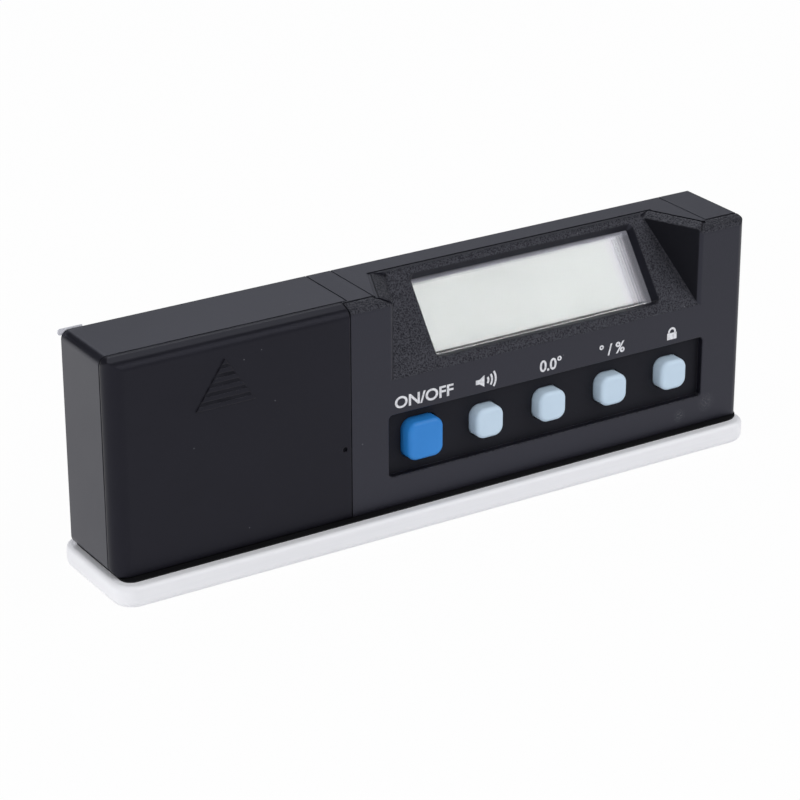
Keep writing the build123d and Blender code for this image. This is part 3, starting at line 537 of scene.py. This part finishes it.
def sunken_shade_places(tree):
    """A mask of the scoop's side walls, the key pocket's floor and the rim, where roughness and painted shade
    go.
    """
    facing = own_normal(tree)
    sunk = stretch(tree, own_distance(tree, "Y"), pocket_mouth_y, pocket_floor_y)
    to_front = stretch(tree, along(tree, facing, frontward), 0.9, 0.98)
    places = calculate(tree, "MAXIMUM", calculate(tree, "MULTIPLY", sunk, to_front), rim_places(tree))
    for side in (1, -1):
        wall_normal = (side * math.cos(wall_splay), -math.sin(wall_splay), 0.0)
        wall = stretch(tree, along(tree, facing, wall_normal), 0.95, 0.99)
        places = calculate(tree, "MAXIMUM", places, wall)
    return places


print("scoop walls are splayed by", round(math.degrees(wall_splay), 1), "degrees")

# %% [markdown]
# Darkening, painted shade and scratches.
# The seam beside the battery cover is darkened in patches. The foot of the battery shell and the gaps
# between the bars of the arrow get painted shade, where shade falls under the shell and between the
# bars. Two patches of pale scratches lie low on the front at the right. Each is a plain mask by place,
# broken up by noise. Painting them on a picture would be freer, but these places are simple.

# %% Darkening, painted shade and scratches
seam_front_y = -7.0 * MM
seam_back_y = -5.95 * MM
# Painted shade at the foot of the battery shell grows from here downward.
foot_unshaded_z = 6.1 * MM
foot_shaded_z = 5.75 * MM
arrow_gap_front_y = -10.18 * MM
arrow_gap_back_y = -10.10 * MM
scuff_patches = [(Vector((67.6, -10.0, 9.9)) * MM, 2.6 * MM), (Vector((60.4, -10.0, 8.2)) * MM, 1.9 * MM)]


def seam_darkening_and_foot_shade(tree):
    """A mask of the battery shell's edge beside the cover, which is darkened, and of its foot, where shade is
    painted.
    """
    patches = stretch(tree, noise(tree, own_place(tree), 60.0), 0.35, 0.6, 0.6, 1.0)
    edge = between(tree, own_distance(tree, "Y"), seam_front_y, seam_back_y, 0.1 * MM)
    foot = stretch(tree, own_distance(tree, "Z"), foot_unshaded_z, foot_shaded_z)
    return calculate(tree, "MAXIMUM", calculate(tree, "MULTIPLY", edge, patches), foot)


def arrow_gap_shade(tree):
    """A mask of the gaps between the arrow's bars, where shade is painted."""
    patches = stretch(tree, noise(tree, own_place(tree), 260.0), 0.35, 0.65, 0.25, 0.7)
    gaps = between(tree, own_distance(tree, "Y"), arrow_gap_front_y, arrow_gap_back_y, 0.03 * MM)
    return calculate(tree, "MULTIPLY", gaps, patches)


def scuffs(tree):
    """A mask of the patches of pale scratches."""
    threads = stretch(tree, noise(tree, own_place(tree), 4200.0, detail=3.0, roughness=0.7), 0.54, 0.66)
    patches = 0.0
    for place, reach in scuff_patches:
        gap = tree.nodes.new("ShaderNodeVectorMath")
        gap.operation = "DISTANCE"
        tree.links.new(own_place(tree), gap.inputs[0])
        gap.inputs[1].default_value = place
        patch = stretch(tree, gap.outputs["Value"], reach, 0.2 * reach)
        patches = calculate(tree, "MAXIMUM", patches, patch)
    return calculate(tree, "MULTIPLY", threads, patches)


print("patches of scratches:", len(scuff_patches))

# %% [markdown]
# The black case.
# All of the case is black plastic, but not the same black. The right shell is coarse on the slope and
# the bevels and fine elsewhere. There the grain's tops get a paler grey as a painted highlight and its
# pits a near black as painted shade. The battery shell is smoother, and its cover reflects less than
# either. Each shell also gets painted shade in some places, and paler edges that are partly rubbed wear
# and partly a painted highlight. One function makes all three, because only the grain and the gloss
# differ. The black itself is very dark, and most of what the eye sees is the room in its gloss.

# %% Case plastics
case_black = (0.0074, 0.0073, 0.0108)
cover_black = (0.0072, 0.0069, 0.0098)
painted_shade_black = (0.002, 0.002, 0.003)
# Painted highlight on the tops of the coarse grain.
grain_top_highlight_grey = (0.028, 0.028, 0.031)
scratch_grey = (0.22, 0.22, 0.23)
# Paler grey for the edges: rubbed wear and a painted highlight.
worn_highlight_grey = (0.040, 0.040, 0.046)
dust_grey = (0.25, 0.25, 0.27)
gloss_tint = (0.80, 0.81, 1.0, 1)
grain_reach = 0.1 * MM
coarse_rounding = 0.9 * MM


def make_case_plastic(name, black, gloss, grain_depth, edge_width, dull_shaded_places, coarse=False, specular=0.5):
    material, tree, shader = new_material(name)
    fine = place_group(tree, moulded_grain, cells_per_metre=4200.0)
    cloud = place_group(tree, slow_drift, clouds_per_metre=35.0)["Cloud"]
    speck = place_group(tree, settled_specks)["Speck"]
    lighter = tuple(value * 1.35 for value in black)
    body = blend_colours(tree, cloud, black, lighter)
    roughness = stretch(tree, cloud, 0.0, 1.0, *gloss)
    height = calculate(tree, "MULTIPLY", fine["Height"], grain_depth / grain_reach)
    rounding = edge_width
    if coarse:
        leather = place_group(tree, moulded_grain, cells_per_metre=3100.0)
        where = coarse_places(tree)
        # Painted highlight on the grain's tops and painted shade in its pits.
        grain_highlight_and_shade = blend_colours(tree, leather["Pits"], grain_top_highlight_grey, painted_shade_black)
        body = blend_colours(tree, scuffs(tree), blend_colours(tree, where, body, grain_highlight_and_shade), scratch_grey)
        rough_pits = stretch(tree, leather["Pits"], 0.0, 1.0, 0.44, 0.75)
        roughness = blend_values(tree, where, roughness, rough_pits)
        height = blend_values(tree, where, height, leather["Height"])
        rounding = blend_values(tree, where, edge_width, coarse_rounding)
    edge = place_group(tree, worn_highlit_edges, width=rounding)
    dull_shaded = dull_shaded_places(tree)
    # Painted shade in the masked places, which are also made rough below.
    body = blend_colours(tree, dull_shaded, body, painted_shade_black)
    # Paler edges: rubbed wear and a painted highlight.
    worn_and_highlit = blend_colours(tree, calculate(tree, "MULTIPLY", edge["Edge"], 0.35), body, worn_highlight_grey)
    dusty = blend_colours(tree, calculate(tree, "MULTIPLY", speck, 0.35), worn_and_highlit, dust_grey)
    tree.links.new(dusty, shader.inputs["Base Color"])
    tree.links.new(blend_values(tree, dull_shaded, roughness, 0.8), shader.inputs["Roughness"])
    shader.inputs["Specular IOR Level"].default_value = specular
    shader.inputs["Specular Tint"].default_value = gloss_tint
    add_bump(tree, shader, height, grain_reach, edge["Normal"])
    return material


black_grained = make_case_plastic(
    "black_grained", case_black, (0.36, 0.44), 0.020 * MM, 0.25 * MM, sunken_shade_places, coarse=True
)
black_smooth = make_case_plastic("black_smooth", case_black, (0.30, 0.38), 0.005 * MM, 0.25 * MM, seam_darkening_and_foot_shade)
black_dull = make_case_plastic(
    "black_dull", cover_black, (0.32, 0.40), 0.004 * MM, 0.35 * MM, arrow_gap_shade, specular=0.2
)
dress(in_slot("case_grained"), black_grained)
dress(["battery_case"], black_smooth)
dress(["battery_cover"], black_dull)

# %% [markdown]
# Rail and gasket.
# The rail is pale drawn metal with a satin brushing along its length. Under bright light it looks
# almost white, so it gets a pale colour and only a small share of metal, where full metal would mirror
# the dim room. Its streaks drive roughness and a very shallow bump. The gasket is a matte black sheet
# whose rim shows as a dark line round the foot of the case, and the carbon contacts and chips inside
# are soft blacks of the same kind.

# %% Rail and gasket
def make_rail_metal():
    material, tree, shader = new_material("rail_satin_metal")
    streak = place_group(tree, drawn_streaks)["Streak"]
    cloud = place_group(tree, slow_drift, clouds_per_metre=25.0)["Cloud"]
    edge = place_group(tree, worn_highlit_edges, width=0.3 * MM, breakup_per_metre=500.0)["Edge"]
    pale = blend_colours(tree, streak, (0.915, 0.912, 0.925), (0.945, 0.942, 0.95))
    clouded = blend_colours(tree, calculate(tree, "MULTIPLY", cloud, 0.3), pale, (0.90, 0.897, 0.915))
    # Paler edges: a painted highlight along the rail's edges.
    tree.links.new(blend_colours(tree, edge, clouded, (0.96, 0.96, 0.965)), shader.inputs["Base Color"])
    tree.links.new(stretch(tree, streak, 0.0, 1.0, 0.50, 0.58), shader.inputs["Roughness"])
    shader.inputs["Metallic"].default_value = 0.12
    add_bump(tree, shader, streak, 0.002 * MM)
    return material


def make_soft_black(name, low, high, cells, depth):
    material, tree, shader = new_material(name)
    grain = place_group(tree, moulded_grain, cells_per_metre=cells)
    cloud = place_group(tree, slow_drift, clouds_per_metre=60.0)["Cloud"]
    tree.links.new(blend_colours(tree, cloud, low, high), shader.inputs["Base Color"])
    tree.links.new(stretch(tree, grain["Pits"], 0.0, 1.0, 0.62, 0.78), shader.inputs["Roughness"])
    shader.inputs["Specular IOR Level"].default_value = 0.25
    add_bump(tree, shader, grain["Height"], depth)
    return material


soft_blacks = {
    "gasket_black": ("gasket_sheet", (0.003, 0.003, 0.004), (0.006, 0.006, 0.007), 3000.0, 0.01 * MM),
    "carbon_black": ("carbon_pill", (0.004, 0.004, 0.004), (0.010, 0.010, 0.010), 2500.0, 0.01 * MM),
    "chip_black": ("moulded_chip", (0.006, 0.006, 0.006), (0.012, 0.012, 0.012), 5000.0, 0.006 * MM),
}
dress(in_slot("rail_metal"), make_rail_metal())
for slot_name, finish in soft_blacks.items():
    dress(in_slot(slot_name), make_soft_black(*finish))

# %% [markdown]
# Keys.
# The keys are moulded in colour with a dull, slightly silky skin. The large one is a strong blue, the
# others a pale grey blue. The edge mask makes the rims a touch paler, as rubbed wear and as a painted
# highlight. One function makes both, because only the colours differ.

# %% Keys
def make_key_skin(name, deep, light, rim):
    material, tree, shader = new_material(name)
    grain = place_group(tree, moulded_grain, cells_per_metre=6000.0)
    cloud = place_group(tree, slow_drift, clouds_per_metre=120.0)["Cloud"]
    edge = place_group(tree, worn_highlit_edges, width=0.5 * MM, breakup_per_metre=700.0)
    body = blend_colours(tree, cloud, deep, light)
    # Paler rims: rubbed wear and a painted highlight.
    worn_and_highlit = blend_colours(tree, calculate(tree, "MULTIPLY", edge["Edge"], 0.4), body, rim)
    tree.links.new(worn_and_highlit, shader.inputs["Base Color"])
    tree.links.new(stretch(tree, grain["Pits"], 0.0, 1.0, 0.42, 0.52), shader.inputs["Roughness"])
    shader.inputs["Specular IOR Level"].default_value = 0.4
    add_bump(tree, shader, grain["Height"], 0.004 * MM, edge["Normal"])
    return material


key_blue = make_key_skin("key_strong_blue", (0.022, 0.225, 0.64), (0.028, 0.245, 0.68), (0.08, 0.33, 0.74))
key_pale = make_key_skin("key_pale_blue", (0.59, 0.73, 0.85), (0.63, 0.77, 0.89), (0.71, 0.83, 0.93))
dress(in_slot("key_blue"), key_blue)
dress(in_slot("key_pale"), key_pale)

# %% [markdown]
# Display.
# The display is switched off: a pale grey-green reflector, partly metal, behind clear glass. Near the
# top its edge gets painted shade, as the opening would shade it. At the right, stripes that darken
# toward the opening's wall are painted shade and painted reflections of the wall, set where the layers
# of the cell end one after the other. At the bottom a dark line of painted shade and a painted
# highlight on the glass edge close it. All of that is drawn by the distance in millimetres from the
# middle of the window, up the slope and along it. The top band and the right end also get a faint
# emission: painted light, though the display is no lamp. The layers could be modelled as thin sheets,
# but they are much thinner than a pixel.

# %% Display
window_low, window_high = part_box("display_window")
window_middle = (window_low + window_high) / 2
up_slope = (0.0, math.sin(display_lean), math.cos(display_lean))
# Stripes at the right end that darken toward the opening's wall: painted shade and painted reflections.
right_stripes_and_shade = [
    (22.8, 0.91),
    (24.2, 0.76),
    (24.8, 0.62),
    (25.0, 0.30),
    (25.4, 0.54),
    (25.7, 0.26),
    (26.1, 0.44),
    (26.4, 0.20),
    (29.0, 0.16),
]
right_stripe_tint = Vector((1.0, 0.985, 1.06))
# Where the painted light at the right end fades in.
right_painted_light_ramp = (25.7, 26.5)
face_ends = (-27.0, 27.0)
top_shade_ramp = (7.50, 7.65)
# A dark line of painted shade, then a painted highlight at the glass edge.
bottom_shade_line_ramp = (-7.35, -7.45)
bottom_highlight_ramp = (-7.78, -7.86)


def from_middle(tree, direction):
    """Distance in millimetres from the middle of the window, along a direction."""
    middle = window_middle.dot(Vector(direction))
    reach = calculate(tree, "SUBTRACT", along(tree, own_place(tree), direction), middle)
    return calculate(tree, "DIVIDE", reach, MM)


def make_display_face():
    material, tree, shader = new_material("display_reflector")
    fleck = place_group(tree, moulded_grain, cells_per_metre=9000.0)
    cloud = place_group(tree, slow_drift, clouds_per_metre=30.0)["Cloud"]
    pale = blend_colours(tree, cloud, (0.90, 0.915, 0.90), (0.915, 0.93, 0.915))
    face = blend_colours(tree, calculate(tree, "MULTIPLY", fleck["Pits"], 0.5), pale, (0.83, 0.85, 0.84))
    across = from_middle(tree, (1, 0, 0))
    up = from_middle(tree, up_slope)
    # Painted shade and painted reflections of the wall at the right end.
    right_stripes = tree.nodes.new("ShaderNodeValToRGB")
    first, last = right_stripes_and_shade[0][0], right_stripes_and_shade[-1][0]
    while len(right_stripes.color_ramp.elements) < len(right_stripes_and_shade):
        right_stripes.color_ramp.elements.new(1.0)
    for stop, (place, grey) in zip(right_stripes.color_ramp.elements, right_stripes_and_shade):
        stop.position = (place - first) / (last - first)
        stop.color = (*(right_stripe_tint * grey), 1)
    tree.links.new(stretch(tree, across, first, last), right_stripes.inputs["Fac"])
    striped = blend_colours(tree, stretch(tree, across, first, first + 0.4), face, right_stripes.outputs["Color"])
    to_right = stretch(tree, across, *face_ends)
    # Painted shade along the top edge of the display.
    in_top_shade = stretch(tree, up, *top_shade_ramp)
    shade = blend_colours(tree, to_right, (0.20, 0.20, 0.23), (0.36, 0.36, 0.39))
    shaded = blend_colours(tree, in_top_shade, striped, shade)
    # At the bottom a dark line of painted shade, then a painted highlight on the glass edge.
    lined = blend_colours(tree, stretch(tree, up, *bottom_shade_line_ramp), shaded, (0.035, 0.035, 0.04))
    closed = blend_colours(tree, stretch(tree, up, *bottom_highlight_ramp), lined, (0.72, 0.73, 0.74))
    tree.links.new(closed, shader.inputs["Base Color"])
    # Painted light: a faint emission at the right end and in the top band, though the display is no lamp.
    at_right_end = stretch(tree, across, *right_painted_light_ramp)
    right_painted_light = blend_colours(tree, at_right_end, (0.0, 0.0, 0.0), (0.10, 0.10, 0.115))
    top_painted_light = blend_colours(tree, to_right, (0.07, 0.07, 0.08), (0.11, 0.11, 0.125))
    glow = blend_colours(tree, in_top_shade, right_painted_light, top_painted_light)
    tree.links.new(glow, shader.inputs["Emission Color"])
    shader.inputs["Emission Strength"].default_value = 1.0
    tree.links.new(stretch(tree, cloud, 0.0, 1.0, 0.24, 0.26), shader.inputs["Roughness"])
    shader.inputs["Specular IOR Level"].default_value = 0.3
    shader.inputs["Metallic"].default_value = 0.65
    return material


dress(in_slot("lcd_pale"), make_display_face())

# %% [markdown]
# Window.
# The pane in front of the display is made nearly transparent by alpha, with more reflection at a flat
# angle. A refracting pane would be closer to real glass, but it would keep the lamps' light from the
# display behind it.

# %% Window
def make_window_pane():
    material, tree, shader = new_material("clear_pane")
    cloud = place_group(tree, slow_drift, clouds_per_metre=90.0)["Cloud"]
    shader.inputs["Base Color"].default_value = (0.90, 0.93, 0.91, 1)
    tree.links.new(stretch(tree, cloud, 0.0, 1.0, 0.03, 0.07), shader.inputs["Roughness"])
    facing = tree.nodes.new("ShaderNodeLayerWeight")
    facing.inputs["Blend"].default_value = 0.35
    tree.links.new(stretch(tree, facing.outputs["Fresnel"], 0.0, 1.0, 0.005, 0.3), shader.inputs["Alpha"])
    return material


dress(in_slot("window_clear"), make_window_pane())

# %% [markdown]
# Small plain parts.
# The battery contacts are seen when the cover is up, and the rear screws from behind. Wires, boards and
# the other screws are not seen at all, but each still gets a finish of its own, with some unevenness,
# so that the part holds up when it is taken apart. A table of colours and one function are enough for
# that.

# %% Small parts
def make_plain_skin(name, low, high, rough_low, rough_high, metal):
    material, tree, shader = new_material(name)
    cloud = place_group(tree, slow_drift, clouds_per_metre=150.0)["Cloud"]
    edge = place_group(tree, worn_highlit_edges, width=0.15 * MM)["Edge"]
    rim = tuple(min(1.0, value * 1.25 + 0.01) for value in high)
    body = blend_colours(tree, cloud, low, high)
    tree.links.new(blend_colours(tree, edge, body, rim), shader.inputs["Base Color"])
    tree.links.new(stretch(tree, cloud, 0.0, 1.0, rough_low, rough_high), shader.inputs["Roughness"])
    shader.inputs["Metallic"].default_value = metal
    add_bump(tree, shader, cloud, 0.003 * MM)
    return material


plain_skins = {
    "screw_steel": ((0.50, 0.50, 0.51), (0.62, 0.62, 0.63), 0.28, 0.42, 1.0),
    "contact_nickel": ((0.60, 0.59, 0.56), (0.72, 0.71, 0.68), 0.22, 0.36, 1.0),
    "can_steel": ((0.62, 0.62, 0.63), (0.72, 0.72, 0.73), 0.25, 0.38, 1.0),
    "frame_white": ((0.68, 0.68, 0.66), (0.76, 0.76, 0.74), 0.45, 0.55, 0.0),
    "zebra_rubber": ((0.28, 0.17, 0.17), (0.38, 0.24, 0.24), 0.55, 0.70, 0.0),
    "board_green": ((0.020, 0.140, 0.060), (0.030, 0.180, 0.080), 0.30, 0.45, 0.0),
    "ribbon_amber": ((0.42, 0.19, 0.03), (0.52, 0.26, 0.05), 0.20, 0.32, 0.0),
    "mat_grey": ((0.30, 0.31, 0.33), (0.38, 0.39, 0.41), 0.55, 0.70, 0.0),
    "header_white": ((0.74, 0.73, 0.68), (0.82, 0.81, 0.76), 0.30, 0.45, 0.0),
    "lead_red": ((0.42, 0.015, 0.015), (0.52, 0.025, 0.020), 0.35, 0.50, 0.0),
    "lead_black": ((0.012, 0.012, 0.012), (0.022, 0.022, 0.022), 0.35, 0.50, 0.0),
}
for slot_name, (low, high, rough_low, rough_high, metal) in plain_skins.items():
    dress(in_slot(slot_name), make_plain_skin(slot_name, low, high, rough_low, rough_high, metal))

# %% [markdown]
# Film tab.
# A pale strip of film peeps out behind the top left corner. It lets a little light through and shows
# soft ripples, so it gets partial alpha and a slow bump. Real transmission would look much the same on
# so small a piece.

# %% Film tab
def make_film():
    material, tree, shader = new_material("pale_film")
    cloud = place_group(tree, slow_drift, clouds_per_metre=260.0)["Cloud"]
    lilac = blend_colours(tree, cloud, (0.74, 0.74, 0.79), (0.84, 0.84, 0.88))
    tree.links.new(lilac, shader.inputs["Base Color"])
    tree.links.new(stretch(tree, cloud, 0.0, 1.0, 0.18, 0.34), shader.inputs["Roughness"])
    shader.inputs["Alpha"].default_value = 0.9
    add_bump(tree, shader, cloud, 0.08 * MM)
    return material


dress(in_slot("film_lilac"), make_film())

# %% [markdown]
# Cells.
# Each cell has a plain green jacket with a pale band at its positive end, and the steel of that end
# shows beyond the jacket. The two cells lie in opposite directions, so each gets its own copy of the
# jacket, measured from its own positive end. One shared material would need to know which cell it is
# on.

# %% Cells
steel_length = 1.6 * MM
band_end = 8.0 * MM


def make_cell_jacket(name, positive_x, inward):
    material, tree, shader = new_material(name)
    cloud = place_group(tree, slow_drift, clouds_per_metre=80.0)["Cloud"]
    from_end = calculate(tree, "SUBTRACT", along(tree, own_place(tree), (inward, 0, 0)), inward * positive_x)
    past_band = calculate(tree, "GREATER_THAN", from_end, band_end)
    steel = calculate(tree, "LESS_THAN", from_end, steel_length)
    band = blend_colours(tree, cloud, (0.52, 0.54, 0.50), (0.60, 0.62, 0.58))
    green = blend_colours(tree, cloud, (0.030, 0.115, 0.070), (0.036, 0.135, 0.082))
    jacket = blend_colours(tree, past_band, band, green)
    tree.links.new(blend_colours(tree, steel, jacket, (0.66, 0.66, 0.66)), shader.inputs["Base Color"])
    tree.links.new(steel, shader.inputs["Metallic"])
    tree.links.new(stretch(tree, cloud, 0.0, 1.0, 0.22, 0.32), shader.inputs["Roughness"])
    return material


for cell_name, positive_side in (("battery_lower", 0), ("battery_upper", 1)):
    positive_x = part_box(cell_name)[positive_side].x
    dress([cell_name], make_cell_jacket(f"{cell_name}_jacket", positive_x, 1 - 2 * positive_side))

# %% [markdown]
# Printed marks.
# White marks are printed above the keys. The first one says ON/OFF, and the others are plain signs for
# sound, zero, units and lock. Paint could be a mask in the case's material, but a mask cannot follow
# letter shapes without a picture file, so each mark is a thin flat mesh that lies on the front of the
# case.

# %% Print finish
def make_print():
    material, tree, shader = new_material("white_print")
    grain = place_group(tree, moulded_grain, cells_per_metre=2200.0)
    cloud = place_group(tree, slow_drift, clouds_per_metre=300.0)["Cloud"]
    ink = blend_colours(tree, cloud, (0.78, 0.78, 0.80), (0.86, 0.86, 0.88))
    tree.links.new(blend_colours(tree, grain["Pits"], ink, (0.62, 0.62, 0.64)), shader.inputs["Base Color"])
    tree.links.new(stretch(tree, grain["Pits"], 0.0, 1.0, 0.45, 0.6), shader.inputs["Roughness"])
    add_bump(tree, shader, grain["Height"], 0.02 * MM)
    return material


white_print = make_print()
print_middle_z = 28.1 * MM
print_height = 2.45 * MM
print_thickness = 0.03 * MM
print_face_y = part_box("front_case")[0].y
on_off_width = 14.1 * MM
mark_x = {"on_off": -5.15 * MM, "sound": 10.4 * MM, "zero": 26.1 * MM, "units": 41.85 * MM, "lock": 57.6 * MM}
print("print lies on y", round(print_face_y / MM, 2), "mm")

# %% Flat print from outlines
def add_print(name, mesh):
    mesh.materials.clear()
    mesh.materials.append(white_print)
    mark = bpy.data.objects.new(name, mesh)
    bpy.context.scene.collection.objects.link(mark)
    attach(mark, "case")
    print(name, "faces", len(mesh.polygons))


def flat_print(name, outlines):
    """A thin flat mesh from closed outlines, given in metres as (x, z) on the front of the case."""
    built = bmesh.new()
    for outline in outlines:
        front = [built.verts.new((x, print_face_y - print_thickness, z)) for x, z in outline]
        back = [built.verts.new((x, print_face_y + print_thickness, z)) for x, z in outline]
        built.faces.new(front)
        for step in range(len(outline)):
            after = (step + 1) % len(outline)
            built.faces.new((front[after], front[step], back[step], back[after]))
    bmesh.ops.recalc_face_normals(built, faces=built.faces)
    mesh = bpy.data.meshes.new(name)
    built.to_mesh(mesh)
    built.free()
    add_print(name, mesh)


# %% [markdown]
# Letters and numbers.
# Blender's own font gives the letter shapes as a curve, which is turned into a mesh, stood up and set
# in its place. Drawing each letter as an outline would be longer and no better.

# %% Letters and numbers
capital_share = 0.70
stroke_growth = 0.022


def letter_print(name, words, middle_x, width=None):
    """Letters of Blender's own font, thickened a little, stood up on the front of the case."""
    curve = bpy.data.curves.new(name, "FONT")
    curve.body = words
    curve.size = print_height / capital_share
    curve.offset = stroke_growth * curve.size
    curve.extrude = print_thickness
    writer = bpy.data.objects.new(name + "_writer", curve)
    bpy.context.scene.collection.objects.link(writer)
    bpy.context.view_layer.update()
    mesh = bpy.data.meshes.new_from_object(writer.evaluated_get(bpy.context.evaluated_depsgraph_get()))
    bpy.data.objects.remove(writer)
    bpy.data.curves.remove(curve)
    left = min(vertex.co.x for vertex in mesh.vertices)
    right = max(vertex.co.x for vertex in mesh.vertices)
    widen = 1.0 if width is None else width / (right - left)
    for vertex in mesh.vertices:
        x = middle_x + (vertex.co.x - (left + right) / 2) * widen
        vertex.co = (x, print_face_y - vertex.co.z, print_middle_z - print_height / 2 + vertex.co.y)
    add_print(name, mesh)


letter_print("mark_on_off", "ON/OFF", mark_x["on_off"], width=on_off_width)
letter_print("mark_zero", "0.0°", mark_x["zero"])
letter_print("mark_units", "° / %", mark_x["units"])

# %% [markdown]
# Sound and lock signs.
# A horn with three arcs stands for sound and a padlock for lock. The font has no such signs, so their
# outlines are built from a few corners, and from arcs that are widened into lines.

# %% Sound and lock signs
line_width = 0.46 * MM


def line_outline(points, width):
    """The outline of a line of even width through the points."""
    sides = ([], [])
    for index, point in enumerate(points):
        before = points[max(index - 1, 0)]
        after = points[min(index + 1, len(points) - 1)]
        direction = (Vector(after) - Vector(before)).normalized()
        across = Vector((-direction.y, direction.x)) * width / 2
        sides[0].append(tuple(Vector(point) + across))
        sides[1].append(tuple(Vector(point) - across))
    return sides[0] + sides[1][::-1]


def arc_points(middle, radius, start, end, steps=20):
    angles = [math.radians(start + (end - start) * step / steps) for step in range(steps + 1)]
    return [(middle[0] + radius * math.cos(angle), middle[1] + radius * math.sin(angle)) for angle in angles]


def sound_sign(middle_x):
    horn = [(-3.0, -0.5), (-2.1, -0.5), (-0.9, -1.3), (-0.9, 1.3), (-2.1, 0.5), (-3.0, 0.5)]
    outlines = [[(middle_x + x * MM, print_middle_z + z * MM) for x, z in horn]]
    throat = (middle_x - 1.1 * MM, print_middle_z)
    for radius in (1.2, 2.1, 3.0):
        outlines.append(line_outline(arc_points(throat, radius * MM, -34, 34), line_width))
    flat_print("mark_sound", outlines)


def lock_sign(middle_x):
    body = [(-1.25, -1.3), (1.25, -1.3), (1.25, 0.2), (-1.25, 0.2)]
    outlines = [[(middle_x + x * MM, print_middle_z + z * MM) for x, z in body]]
    shackle_foot = print_middle_z + 0.15 * MM
    shackle_turn = (middle_x, print_middle_z + 0.45 * MM)
    arch = arc_points(shackle_turn, 0.78 * MM, 0, 180)
    legs = [(arch[0][0], shackle_foot)] + arch + [(arch[-1][0], shackle_foot)]
    outlines.append(line_outline(legs, line_width))
    flat_print("mark_lock", outlines)


sound_sign(mark_x["sound"])
lock_sign(mark_x["lock"])
